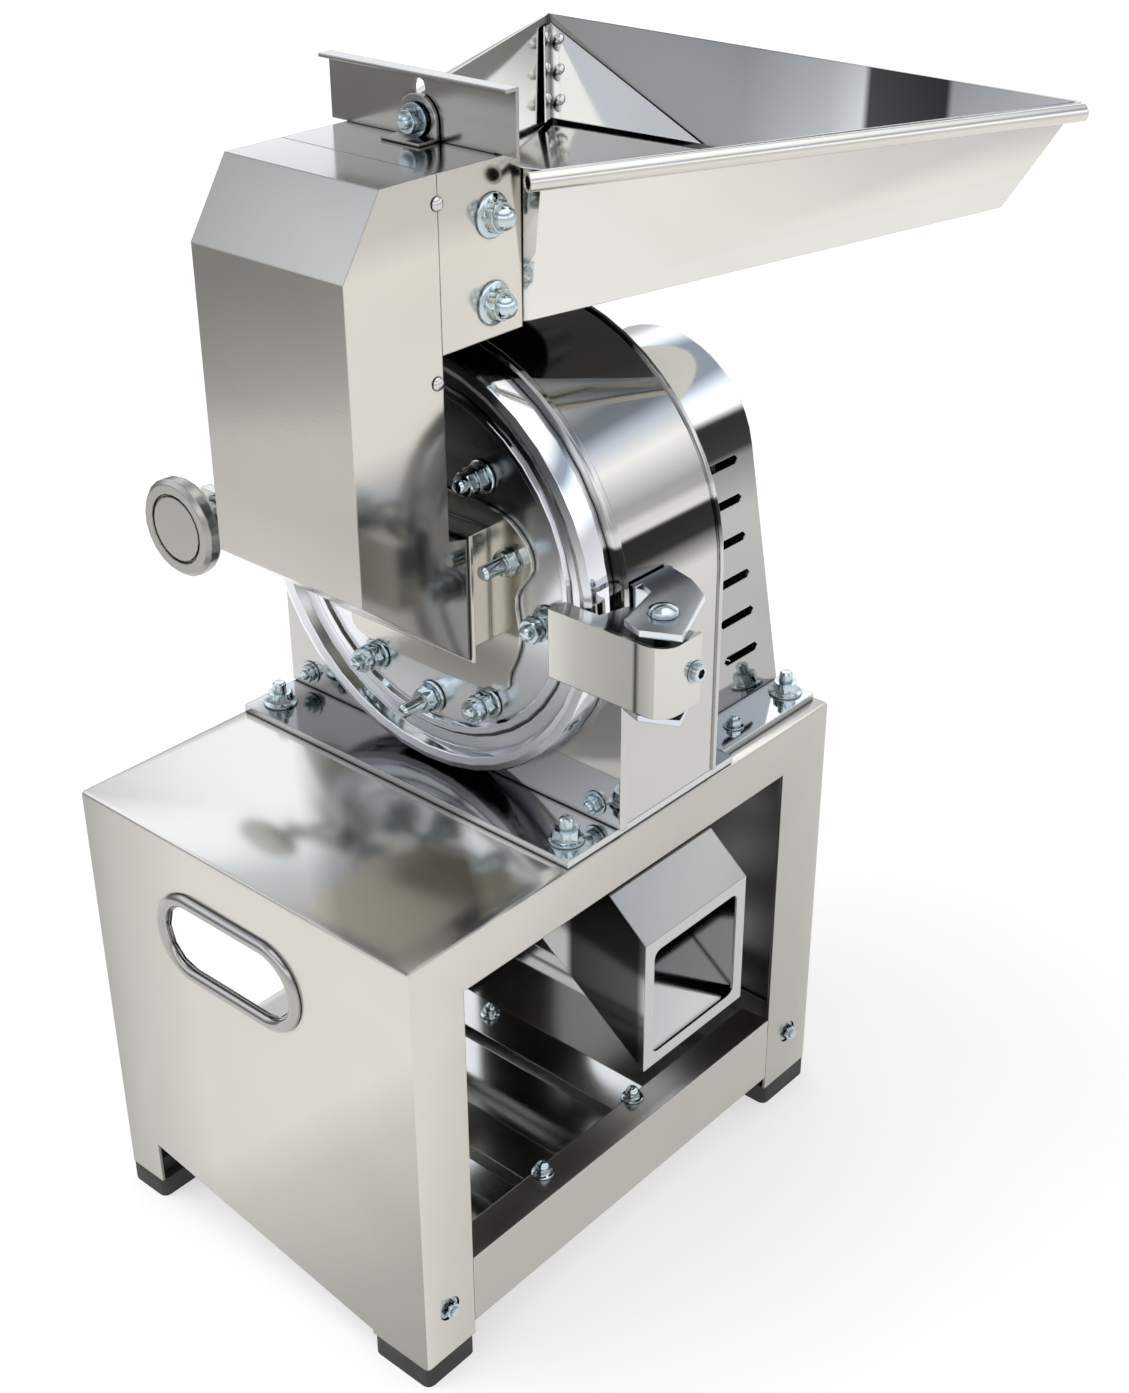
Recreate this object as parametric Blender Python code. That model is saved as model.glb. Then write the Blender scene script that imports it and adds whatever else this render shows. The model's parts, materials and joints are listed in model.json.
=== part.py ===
"""Spice grinding machine: a claw mill with a drum chamber on a folded sheet stand.

Bench frame used below: X is to the machine's right, Y runs from the stand's front panel (Y = 0)
to the back, Z is up and the floor is at FLOOR. The whole machine is then moved so that its origin
is the middle of its base, on the floor. All lengths are metres.
"""
import math

import bmesh
import bpy
from mathutils import Matrix, Vector

GAP = 0.0003
CUT_CLEAR = 0.0005
PAST = 0.01
SHEET = 0.002
THIN_SHEET = 0.0015

# Stand: one folded sheet with two open sides
FLOOR = 0.006
STAND_WIDTH = 0.300
STAND_DEPTH = 0.414
STAND_TOP = 0.336
LEG_BOTTOM = 0.022
BAND_BOTTOM = 0.300
FRONT_LEG = 0.044
REAR_LEG = 0.052
SKIRT_HIGH = 0.056
SKIRT_LOW = 0.025
LEFT_LEG_WIDTH = 0.035
RIGHT_LEG_WIDTH = 0.050

# Hand slots in the end panels
SLOT_CENTRE_X = -0.012
SLOT_CENTRE_Z = 0.267
SLOT_LENGTH = 0.134
SLOT_HEIGHT = 0.066
SLOT_RIM = 0.009

# Rails, crossbars and tray between the legs
RAIL_LOW = 0.033
RAIL_HIGH = 0.087
RAIL_FLANGE = 0.024
RAIL_WEB = 0.004
RAIL_TAB_OVERLAP = 0.032
RAIL_BOLT_Z = 0.061
LEG_BOLT_HOLE = 0.0085
CROSSBAR_YS = {"crossbar_front": 0.137, "crossbar_rear": 0.230}
CROSSBAR_WIDTH = 0.032
CROSSBAR_RISE = 0.012
CROSSBAR_HALF = STAND_WIDTH / 2 - SHEET - RAIL_WEB - 0.0022
TRAY_RISE = 0.014

# Chamber: an arch of polished sheet round the shaft axis
SHAFT_Z = 0.487
DRUM_RADIUS = 0.148
DRUM_FRONT = 0.186
DRUM_BACK = 0.284
DRUM_WALL = 0.004
DRUM_SIDE_WALL = 0.003
MOUTH_RADIUS = 0.125
SEAL_RADIUS = 0.018
BASE_PLATE = 0.005
BASE_FRONT = 0.139
BASE_BACK = 0.304
MOTOR_PLATE_HALF = 0.140
MOTOR_PLATE_BACK = 0.4085
CHAMBER_STUD = (0.131, 0.157)
MOTOR_STUD = (0.124, 0.397)
TABLE_STUD_HOLE = 0.0046
CHAMBER_OUTLET_X = 0.070

# Discharge chute
CHUTE_TOP_HALF = 0.074
CHUTE_Y = (0.1955, 0.3025)
OUTLET_X = 0.165
OUTLET_Z = (0.152, 0.254)
OUTLET_RIM = 0.009

# Motor and its cowl behind the chamber
COWL_RADIUS = 0.078
COWL_CENTRE_Z = 0.497
COWL_FOOT_HALF = 0.107
COWL_BACK = 0.410
VENT_COUNT = 6
VENT_PITCH = 0.0265
VENT_LOWEST = 0.373
VENT_CENTRE_Y = 0.374
VENT_LENGTH = 0.038
VENT_HEIGHT = 0.006
GLAND_PLACE = (-0.060, 0, 0.372)
GLAND_NECK = 0.008
FRAME_RADIUS = 0.064
FRAME_BORE = 0.060
FRAME_Y = (0.3146, 0.3820)
FRAME_FOOT_Y = (0.326, 0.371)
FRAME_FINS = 15
FIN_HEIGHT = 0.0035
STATOR_BORE = 0.040
STATOR_Y = (0.325, 0.372)
SHAFT_RADIUS = 0.010
SHAFT_END_RADIUS = 0.008
BEARING_RADIUS = 0.0202

# Rotor claws, fixed claws and ring screen
CLAW_DISC_RADIUS = 0.116
ROTOR_CLAWS = 6
CLAW_TAPER = 0.7
CLAW_ROOT_Y = 0.259
CLAW_TIP_Y = 0.212
OUTER_CLAW_RADIUS = 0.109
OUTER_CLAW = (0.008, 0.020)
INNER_CLAW_RADIUS = 0.0775
INNER_CLAW = (0.009, 0.014)
FIXED_CLAWS = 12
FIXED_CLAW_RADIUS = 0.094
FIXED_CLAW = (0.008, 0.012)
FIXED_CLAW_ROOT_Y = 0.192
FIXED_CLAW_TIP_Y = 0.222
SCREEN_RADIUS = 0.120
SCREEN_WALL = 0.0025
SCREEN_SLOTS = 22

# Door and its inlet
DOOR_RADIUS = 0.1445
DOOR_FACE = 0.176
DOOR_BACK = DRUM_FRONT - GAP
RIM_FRONT = 0.166
NECK_HALF = 0.056
NECK_Z = (0.449, 0.524)
STUD_RADIUS = 0.004
STUD_WASHER = 0.010
STUD_NUT = 0.0085
STUD_END = 0.1900
STUD_PLACES = {
    "upper_right": (0.049, 0.554, 0.153),
    "upper_left": (-0.049, 0.554, 0.153),
    "inlet_right": (0.074, 0.508, 0.143),
    "inlet_left": (-0.074, 0.508, 0.143),
    "side_right": (0.100, 0.474, 0.153),
    "side_left": (-0.100, 0.474, 0.153),
    "lower_right": (0.050, 0.401, 0.153),
    "lower_middle": (0.000, 0.387, 0.146),
    "lower_left": (-0.050, 0.401, 0.153),
}

# Hinge on the right and clamp on the left
HINGE_X = 0.186
HINGE_Y = 0.178
ARM_Z = (0.4555, 0.5005)
ARM_WALL = 0.003
PIN_RADIUS = 0.005
CLAMP_X = -0.181
CLAMP_Z = 0.470
KNOB_RADIUS = 0.034
KNOB_FACE_Y = 0.121
CLAMP_TRAVEL = 0.012

# Feed box, throat and gate
BOX_HALF = 0.061
BOX_FRONT = 0.063
BOX_BACK = 0.134
BOX_FOOT = 0.149
BOX_TOP = 0.744
THROAT_BACK = 0.200
THROAT_LOW = 0.643
GATE_Y = 0.1843
GATE_SHEET = 0.002
GATE_HALF_TOP = 0.073
GATE_HALF_LOW = 0.056
GATE_TOP = 0.782
GATE_LOW = 0.648
GATE_TRAVEL = 0.058
GATE_BOLT_Z = 0.7548

# Hopper rim and floor, given at the right-hand side
HOPPER_FRONT = THROAT_BACK + 0.0016
TAB_X = 0.0577
RIM_Z = 0.734
RIM_FRONT_CORNER = (0.0725, 0.2050)
RIM_REAR_CORNER = (0.219, 0.539)
FLOOR_REAR_CORNER = (0.188, 0.512)
FLOOR_FRONT_Z = 0.646
FLOOR_REAR_Z = 0.670
HOPPER_LIP = 0.006
RIM_TUBE = 0.0055
RIM_TUBE_WALL = 0.0015
GUSSET_SHEET = 0.001
GUSSET_STRIP = 0.015
GUSSET_BASE = 0.140
GUSSET_LEAN = 0.014
GUSSET_CLEAR = 0.0045


def clear_scene():
    for old in list(bpy.data.objects):
        bpy.data.objects.remove(old, do_unlink=True)


def make_material(name, colour, roughness, metallic):
    mat = bpy.data.materials.new(name)
    mat.use_nodes = True
    shader = mat.node_tree.nodes["Principled BSDF"]
    shader.inputs["Base Color"].default_value = (*colour, 1.0)
    shader.inputs["Roughness"].default_value = roughness
    shader.inputs["Metallic"].default_value = metallic
    return mat


clear_scene()
SATIN = make_material("satin_steel", (0.66, 0.65, 0.62), 0.32, 1.0)
MIRROR = make_material("polished_steel", (0.78, 0.78, 0.78), 0.08, 1.0)
ZINC = make_material("zinc_fastener", (0.62, 0.68, 0.72), 0.25, 1.0)
RUBBER = make_material("black_rubber", (0.02, 0.02, 0.02), 0.7, 0.0)
CAST = make_material("cast_aluminium", (0.50, 0.51, 0.52), 0.5, 1.0)
TOOL_STEEL = make_material("hard_steel", (0.36, 0.36, 0.37), 0.35, 1.0)
COPPER = make_material("copper_winding", (0.60, 0.30, 0.15), 0.45, 1.0)
BLACK_PLASTIC = make_material("black_plastic", (0.03, 0.03, 0.03), 0.5, 0.0)

BODIES = {}


def make_body(name, location):
    """An empty on the joint's axis; the pieces that move together are its children."""
    empty = bpy.data.objects.new(name, None)
    bpy.context.scene.collection.objects.link(empty)
    empty.location = location
    BODIES[name] = empty
    return empty


def add_object(name, bm, mat, body=None):
    bmesh.ops.remove_doubles(bm, verts=bm.verts, dist=1e-6)
    bmesh.ops.recalc_face_normals(bm, faces=bm.faces)
    mesh = bpy.data.meshes.new(name)
    bm.to_mesh(mesh)
    bm.free()
    mesh.materials.append(mat)
    obj = bpy.data.objects.new(name, mesh)
    bpy.context.scene.collection.objects.link(obj)
    if body is not None:
        obj.parent = BODIES[body]
        obj.location = -BODIES[body].location
    return obj


def apply_modifiers(obj):
    graph = bpy.context.evaluated_depsgraph_get()
    mesh = bpy.data.meshes.new_from_object(obj.evaluated_get(graph))
    obj.modifiers.clear()
    obj.data = mesh


def boolean(target, tool, operation):
    """Cut or join the tool into the target, then take the tool away."""
    modifier = target.modifiers.new("boolean", "BOOLEAN")
    modifier.operation = operation
    modifier.solver = "EXACT"
    modifier.object = tool
    apply_modifiers(target)
    bpy.data.objects.remove(tool, do_unlink=True)
    return target


def cut(target, *tools):
    for tool in tools:
        boolean(target, tool, "DIFFERENCE")
    return target


def join(target, *tools):
    for tool in tools:
        boolean(target, tool, "UNION")
    return target


def give(obj, name, body):
    """Name a finished piece, round its shading and hang it on its body."""
    obj.name = name
    obj.data.name = name
    obj.data.shade_smooth()
    obj.data.set_sharp_from_angle(angle=math.radians(32))
    obj.parent = BODIES[body]
    obj.location = -BODIES[body].location
    return obj


def box_mesh(x, y, z):
    bm = bmesh.new()
    bmesh.ops.create_cube(bm, size=1.0)
    size = Vector((x[1] - x[0], y[1] - y[0], z[1] - z[0]))
    centre = Vector((x[0] + x[1], y[0] + y[1], z[0] + z[1])) / 2
    bmesh.ops.scale(bm, vec=size, verts=bm.verts)
    bmesh.ops.translate(bm, vec=centre, verts=bm.verts)
    return bm


def box(x, y, z, mat=SATIN):
    return add_object("box", box_mesh(x, y, z), mat)


def rounded_box(x, y, z, radius, keep, mat, segments=2):
    """A box whose edges that pass the keep test are rounded."""
    bm = box_mesh(x, y, z)
    edges = [edge for edge in bm.edges if keep(edge)]
    bmesh.ops.bevel(bm, geom=edges, offset=radius, segments=segments, profile=0.5, affect="EDGES")
    return add_object("rounded_box", bm, mat)


def is_upright(edge):
    along = (edge.verts[0].co - edge.verts[1].co).normalized()
    return abs(along.z) > 0.9


PLANES = {
    "x": lambda u, v, t: (t, u, v),
    "y": lambda u, v, t: (u, t, v),
    "z": lambda u, v, t: (u, v, t),
}


def prism(outline, axis, low, high, mat=SATIN):
    """A flat outline pushed along an axis; the outline is (y, z), (x, z) or (x, y)."""
    to_space = PLANES[axis]
    bm = bmesh.new()
    verts = [bm.verts.new(to_space(u, v, low)) for u, v in outline]
    face = bm.faces.new(verts)
    pushed = bmesh.ops.extrude_face_region(bm, geom=[face])
    moved = [item for item in pushed["geom"] if isinstance(item, bmesh.types.BMVert)]
    bmesh.ops.translate(bm, vec=Vector(to_space(0, 0, high - low)), verts=moved)
    return add_object("prism", bm, mat)


def loft(loops, mat=SATIN):
    """Join matching closed loops one after the other and close both ends."""
    bm = bmesh.new()
    made = [[bm.verts.new(point) for point in loop] for loop in loops]
    bm.faces.new(made[0])
    bm.faces.new(made[-1])
    for low, high in zip(made, made[1:]):
        for i in range(len(low)):
            j = (i + 1) % len(low)
            bm.faces.new((low[i], low[j], high[j], high[i]))
    return add_object("loft", bm, mat)


def revolve(profile, centre, axis="y", segments=24, mat=SATIN):
    """Turn a (radius, place along axis) profile; one that starts and ends on the axis is solid."""
    bm = bmesh.new()
    along = Vector((0, 1, 0)) if axis == "y" else Vector((0, 0, 1))
    if axis == "x":
        along = Vector((1, 0, 0))
    out = Vector((0, 0, 1)) if axis != "z" else Vector((1, 0, 0))
    verts = [bm.verts.new(Vector(centre) + out * r + along * t) for r, t in profile]
    chain = [bm.edges.new(pair) for pair in zip(verts, verts[1:])]
    if profile[0][0] > 0 and profile[-1][0] > 0:
        chain.append(bm.edges.new((verts[-1], verts[0])))
    bmesh.ops.spin(bm, geom=verts + chain, cent=centre, axis=along, dvec=(0, 0, 0),
                   angle=math.tau, steps=segments, use_merge=True, use_duplicate=False)
    return add_object("turned", bm, mat)


def ring(inner, outer, low, high, centre, axis="y", segments=24, mat=SATIN):
    profile = [(inner, low), (outer, low), (outer, high), (inner, high)]
    return revolve(profile, centre, axis, segments, mat)


def rod(radius, low, high, centre, axis="y", segments=16, mat=SATIN):
    return revolve([(0, low), (radius, low), (radius, high), (0, high)], centre, axis, segments, mat)


def arc(centre, radius, start, end, steps):
    """Points on an arc; angles in degrees."""
    points = []
    for i in range(steps + 1):
        angle = math.radians(start + (end - start) * i / steps)
        points.append((centre[0] + radius * math.cos(angle), centre[1] + radius * math.sin(angle)))
    return points


def stadium(centre, length, height, steps=8):
    half = (length - height) / 2
    right = arc((centre[0] + half, centre[1]), height / 2, -90, 90, steps)
    left = arc((centre[0] - half, centre[1]), height / 2, 90, 270, steps)
    return right + left


def inset_outline(points, distance):
    """Move every side of a counter-clockwise outline inwards by the distance."""
    moved = []
    count = len(points)
    for i in range(count):
        before, here, after = (Vector(points[i - 1]), Vector(points[i]), Vector(points[(i + 1) % count]))
        d1 = (here - before).normalized()
        d2 = (after - here).normalized()
        n1 = Vector((-d1.y, d1.x))
        n2 = Vector((-d2.y, d2.x))
        share = distance / (1 + n1.dot(n2))
        moved.append(tuple(here + (n1 + n2) * share))
    return moved


def smooth_outline(points, steps):
    """A closed smooth curve through a few hand-placed points."""
    curve = []
    count = len(points)
    for i in range(count):
        p0, p1, p2, p3 = (Vector(points[(i + k - 1) % count]) for k in range(4))
        for j in range(steps):
            t = j / steps
            curve.append(tuple(0.5 * (2 * p1 + (p2 - p0) * t + (2 * p0 - 5 * p1 + 4 * p2 - p3) * t * t
                                      + (3 * p1 - p0 - 3 * p2 + p3) * t ** 3)))
    return curve


AXIS_TURNS = {
    "+x": Matrix.Rotation(math.radians(90), 4, "Y"),
    "-x": Matrix.Rotation(math.radians(-90), 4, "Y"),
    "+y": Matrix.Rotation(math.radians(-90), 4, "X"),
    "-y": Matrix.Rotation(math.radians(90), 4, "X"),
    "+z": Matrix.Identity(4),
    "-z": Matrix.Rotation(math.radians(180), 4, "X"),
}
HEX_FLAT = math.cos(math.radians(30))


def fastener(rings, place, direction, mat=ZINC, hollow=False):
    """A bolt or nut from stacked rings of (shape, radius, distance along its direction)."""
    bm = bmesh.new()
    loops = []
    for shape, radius, along in rings:
        loop = []
        for i in range(12):
            reach = radius * HEX_FLAT if shape == "hex" and i % 2 else radius
            angle = math.tau * i / 12
            loop.append(bm.verts.new((reach * math.cos(angle), reach * math.sin(angle), along)))
        loops.append(loop)
    pairs = list(zip(loops, loops[1:]))
    if hollow:
        pairs.append((loops[-1], loops[0]))
    else:
        bm.faces.new(loops[0])
        bm.faces.new(loops[-1])
    for low, high in pairs:
        for i in range(12):
            j = (i + 1) % 12
            bm.faces.new((low[i], low[j], high[j], high[i]))
    bmesh.ops.transform(bm, matrix=Matrix.Translation(place) @ AXIS_TURNS[direction], verts=bm.verts)
    return add_object("fastener", bm, mat)


def stud_with_nut(place, direction, shank, height, nut=0.0085, stem=0.004):
    """A stud end with a washer and nut; the shank goes back into the part."""
    rings = [("round", stem, -shank), ("round", stem, 0.0), ("round", nut * 1.3, 0.0),
             ("round", nut * 1.3, 0.0016), ("hex", nut, 0.0016), ("hex", nut, 0.0086),
             ("round", stem, 0.0086), ("round", stem, height)]
    return fastener(rings, place, direction)


def build_stand():
    """Front panel, table top and rear panel of one sheet, open at both sides."""
    half = STAND_WIDTH / 2
    rounded_edges = (lambda edge: is_upright(edge) or
                     min(v.co.z for v in edge.verts) > STAND_TOP - 1e-4)
    shell = rounded_box((-half, half), (0, STAND_DEPTH), (LEG_BOTTOM, STAND_TOP), 0.003,
                        rounded_edges, SATIN)
    hollow = box((-half + SHEET, half - SHEET), (SHEET, STAND_DEPTH - SHEET),
                 (0, STAND_TOP - SHEET))
    side_window = box((-half - PAST, half + PAST), (FRONT_LEG, STAND_DEPTH - REAR_LEG),
                      (0, BAND_BOTTOM))
    front_skirt = prism([(-half + LEFT_LEG_WIDTH, 0), (half - RIGHT_LEG_WIDTH, 0),
                         (half - RIGHT_LEG_WIDTH, SKIRT_LOW), (-half + LEFT_LEG_WIDTH, SKIRT_HIGH)],
                        "y", -PAST, SHEET + 0.001)
    rear_skirt = box((-half + RIGHT_LEG_WIDTH, half - RIGHT_LEG_WIDTH),
                     (STAND_DEPTH - SHEET - 0.001, STAND_DEPTH + PAST), (0, SKIRT_HIGH))
    through_table = (STAND_TOP - PAST, STAND_TOP + PAST)
    table_hole = box((-CHUTE_TOP_HALF - CUT_CLEAR, CHUTE_TOP_HALF + CUT_CLEAR),
                     (CHUTE_Y[0] - CUT_CLEAR, CHUTE_Y[1] + CUT_CLEAR), through_table)
    cut(shell, hollow, side_window, front_skirt, rear_skirt, table_hole)
    slot = stadium((SLOT_CENTRE_X, SLOT_CENTRE_Z), SLOT_LENGTH - 2 * SLOT_RIM,
                   SLOT_HEIGHT - 2 * SLOT_RIM, 6)
    cut(shell, prism(slot, "y", -PAST, STAND_DEPTH + PAST))
    for side in (-1, 1):
        for x, y in (CHAMBER_STUD, MOTOR_STUD):
            cut(shell, rod(TABLE_STUD_HOLE, *through_table, (side * x, y, 0), "z", 12))
    for y in (FRONT_LEG / 2, STAND_DEPTH - REAR_LEG / 2):
        cut(shell, rod(LEG_BOLT_HOLE, -STAND_WIDTH, STAND_WIDTH, (0, y, RAIL_BOLT_Z), "x", 16))
    give(shell, "stand_shell", "base")


def build_handle_ring(name, front, direction):
    """A half-round rim laid round the hand slot."""
    outline = stadium((SLOT_CENTRE_X, SLOT_CENTRE_Z), SLOT_LENGTH - SLOT_RIM, SLOT_HEIGHT - SLOT_RIM, 7)
    bm = bmesh.new()
    count = len(outline)
    loops = []
    for i in range(count):
        before, after = Vector(outline[i - 1]), Vector(outline[(i + 1) % count])
        along = (after - before).normalized()
        out = Vector((along.y, -along.x))
        loop = []
        for k in range(7):
            angle = math.pi * k / 6
            reach = math.cos(angle) * SLOT_RIM / 2
            rise = math.sin(angle) * SLOT_RIM / 2
            loop.append(bm.verts.new((outline[i][0] + out.x * reach, front + direction * rise,
                                      outline[i][1] + out.y * reach)))
        loops.append(loop)
    for i in range(count):
        here, there = loops[i], loops[(i + 1) % count]
        for k in range(7):
            m = (k + 1) % 7
            bm.faces.new((here[k], here[m], there[m], there[k]))
    give(add_object(name, bm, SATIN), name, "base")


def build_rails():
    """A channel between the legs on each side, with its end tabs bolted behind them."""
    for side, name in ((-1, "side_rail_left"), (1, "side_rail_right")):
        half = STAND_WIDTH / 2
        outer, inner = side * half, side * (half - RAIL_WEB)
        ys = (FRONT_LEG + GAP, STAND_DEPTH - REAR_LEG - GAP)
        rail = box(sorted((outer, inner)), ys, (RAIL_LOW, RAIL_HIGH))
        tab_face = half - SHEET - GAP
        tab_xs = sorted((side * tab_face, side * (tab_face - RAIL_WEB)))
        tab_ys = (ys[0] - RAIL_TAB_OVERLAP, ys[1] + RAIL_TAB_OVERLAP)
        join(rail, box(tab_xs, tab_ys, (RAIL_LOW + SHEET, RAIL_HIGH - SHEET)))
        edge = side * (half - RAIL_FLANGE)
        for z in (RAIL_LOW, RAIL_HIGH - SHEET):
            join(rail, box(sorted((outer, edge)), ys, (z, z + SHEET)))
        give(rail, name, "base")


def build_crossbars():
    """Inverted channels bolted under the rails' upper flanges."""
    high = RAIL_HIGH - SHEET - GAP
    low = high - CROSSBAR_RISE
    for name, y in CROSSBAR_YS.items():
        ys = (y - CROSSBAR_WIDTH / 2, y + CROSSBAR_WIDTH / 2)
        bar = box((-CROSSBAR_HALF, CROSSBAR_HALF), ys, (low, high))
        cut(bar, box((-CROSSBAR_HALF - PAST, CROSSBAR_HALF + PAST), (ys[0] + SHEET, ys[1] - SHEET),
                     (low - PAST, high - SHEET)))
        give(bar, name, "base")


def build_tray():
    """A sheet tray lying on the rails' lower flanges, its front and back edges turned up."""
    low = RAIL_LOW + SHEET + GAP
    ys = (FRONT_LEG + 2 * SHEET, STAND_DEPTH - REAR_LEG - 2 * SHEET)
    tray = box((-CROSSBAR_HALF, CROSSBAR_HALF), ys, (low, low + TRAY_RISE))
    cut(tray, box((-CROSSBAR_HALF - PAST, CROSSBAR_HALF + PAST), (ys[0] + SHEET, ys[1] - SHEET),
                  (low + SHEET, low + TRAY_RISE + PAST)))
    give(tray, "bottom_tray", "base")


def build_feet():
    """Rubber blocks plugged into the four legs."""
    half = STAND_WIDTH / 2
    legs = {
        "foot_front_left": ((-half, -half + LEFT_LEG_WIDTH), (0, FRONT_LEG)),
        "foot_front_right": ((half - RIGHT_LEG_WIDTH, half), (0, FRONT_LEG)),
        "foot_rear_left": ((-half, -half + RIGHT_LEG_WIDTH), (STAND_DEPTH - REAR_LEG, STAND_DEPTH)),
        "foot_rear_right": ((half - RIGHT_LEG_WIDTH, half), (STAND_DEPTH - REAR_LEG, STAND_DEPTH)),
    }
    for name, (x, y) in legs.items():
        foot = rounded_box(x, y, (FLOOR, LEG_BOTTOM - GAP), 0.005, is_upright, RUBBER, 3)
        inset = SHEET + GAP + 0.005
        plug = box((x[0] + inset, x[1] - inset), (y[0] + inset, y[1] - inset), (0.014, 0.034), RUBBER)
        give(join(foot, plug), name, "base")


def add_table_studs(plate, place, top):
    """A stud and nut on each side of a plate, down through the table top."""
    for side in (-1, 1):
        join(plate, stud_with_nut((side * place[0], place[1], top - 0.0002), "+z", 0.015, 0.016))


def arch(radius, foot_half, low):
    """Arch outline: straight sides under a half circle, counter-clockwise in X and Z."""
    over = arc((0, SHAFT_Z), radius, 0, 180, 26)
    return [(foot_half, low)] + over + [(-foot_half, low)]


def build_chamber():
    """Base plate and the arch-shaped housing that stands on it."""
    low = STAND_TOP + GAP
    plate = box((-DRUM_RADIUS, DRUM_RADIUS), (BASE_FRONT, BASE_BACK), (low, low + BASE_PLATE))
    cut(plate, box((-CHAMBER_OUTLET_X, CHAMBER_OUTLET_X),
                   (CHUTE_Y[0] + 2 * SHEET, DRUM_BACK - DRUM_WALL - SHEET), (low - PAST, low + PAST)))
    add_table_studs(plate, CHAMBER_STUD, low + BASE_PLATE)
    give(plate, "base_plate", "base")

    foot = low + BASE_PLATE + GAP
    stations = [(0.0018, DRUM_FRONT), (0.0030, DRUM_FRONT + 0.0015), (0.0030, DRUM_FRONT + 0.0055),
                (0.0018, DRUM_FRONT + 0.0070), (0.0000, DRUM_FRONT + 0.0072),
                (0.0000, DRUM_BACK - 0.0032), (0.0015, DRUM_BACK - 0.0030), (0.0015, DRUM_BACK)]
    housing = loft([[(x, y, z) for x, z in arch(DRUM_RADIUS + bead, DRUM_RADIUS + bead, foot)]
                    for bead, y in stations], MIRROR)
    inner = DRUM_RADIUS - DRUM_SIDE_WALL
    axis = (0, 0, SHAFT_Z)
    cut(housing, prism(arch(inner, inner, foot - PAST), "y", DRUM_FRONT + DRUM_WALL,
                       DRUM_BACK - DRUM_WALL))
    cut(housing, rod(MOUTH_RADIUS, DRUM_FRONT - PAST, DRUM_FRONT + DRUM_WALL + 0.001, axis, segments=48))
    cut(housing, rod(SEAL_RADIUS, DRUM_BACK - PAST, DRUM_BACK + PAST, axis, segments=24))
    give(housing, "chamber_housing", "base")


def build_chute():
    """A sloping duct from the chamber's floor out through the right-hand side."""
    outline = [(-CHUTE_TOP_HALF, 0.330), (OUTLET_X, OUTLET_Z[0]), (OUTLET_X, OUTLET_Z[1]),
               (CHUTE_TOP_HALF, 0.330), (CHUTE_TOP_HALF, STAND_TOP - GAP),
               (-CHUTE_TOP_HALF, STAND_TOP - GAP)]
    chute = prism(outline, "y", *CHUTE_Y)
    hollow = prism(inset_outline(outline, SHEET), "y", CHUTE_Y[0] + SHEET, CHUTE_Y[1] - SHEET)
    mouth = box((-CHUTE_TOP_HALF + SHEET, CHUTE_TOP_HALF - SHEET),
                (CHUTE_Y[0] + SHEET, CHUTE_Y[1] - SHEET), (0.331, 0.34))
    outlet = rounded_box((OUTLET_X - 0.005, OUTLET_X + 0.005),
                         (CHUTE_Y[0] + OUTLET_RIM, CHUTE_Y[1] - OUTLET_RIM),
                         (OUTLET_Z[0] + OUTLET_RIM, OUTLET_Z[1] - OUTLET_RIM), 0.006,
                         lambda edge: abs((edge.verts[0].co - edge.verts[1].co).normalized().x) > 0.9,
                         SATIN, 3)
    cut(chute, hollow, mouth, outlet)
    give(chute, "discharge_chute", "base")


def build_screen():
    """A full ring screen whose long slots let the ground product out all round."""
    screen = ring(SCREEN_RADIUS, SCREEN_RADIUS + SCREEN_WALL, 0.1935, DRUM_BACK - DRUM_WALL - GAP,
                  (0, 0, SHAFT_Z), segments=SCREEN_SLOTS * 2, mat=TOOL_STEEL)
    bm = bmesh.new()
    for i in range(SCREEN_SLOTS):
        angle = math.tau * (i + 0.5) / SCREEN_SLOTS
        made = bmesh.ops.create_cube(bm, size=1.0)["verts"]
        bmesh.ops.scale(bm, vec=(0.012, 0.066, 0.005), verts=made)
        bmesh.ops.translate(bm, vec=(SCREEN_RADIUS, 0.2365, 0), verts=made)
        turn = Matrix.Translation((0, 0, SHAFT_Z)) @ Matrix.Rotation(angle, 4, "Y")
        bmesh.ops.transform(bm, matrix=turn, verts=made)
    cut(screen, add_object("slots", bm, TOOL_STEEL))
    give(screen, "ring_screen", "base")
    seal = ring(SHAFT_RADIUS + GAP, SEAL_RADIUS - GAP, DRUM_BACK - DRUM_WALL, DRUM_BACK,
                (0, 0, SHAFT_Z), mat=RUBBER)
    give(seal, "shaft_seal", "base")


def tangent_point(centre, radius, outside):
    """Where a line from the outside point touches the right side of a circle."""
    to_point = Vector(outside) - Vector(centre)
    spread = math.acos(radius / to_point.length)
    angle = math.atan2(to_point.y, to_point.x) + spread
    return math.degrees(angle)


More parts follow.
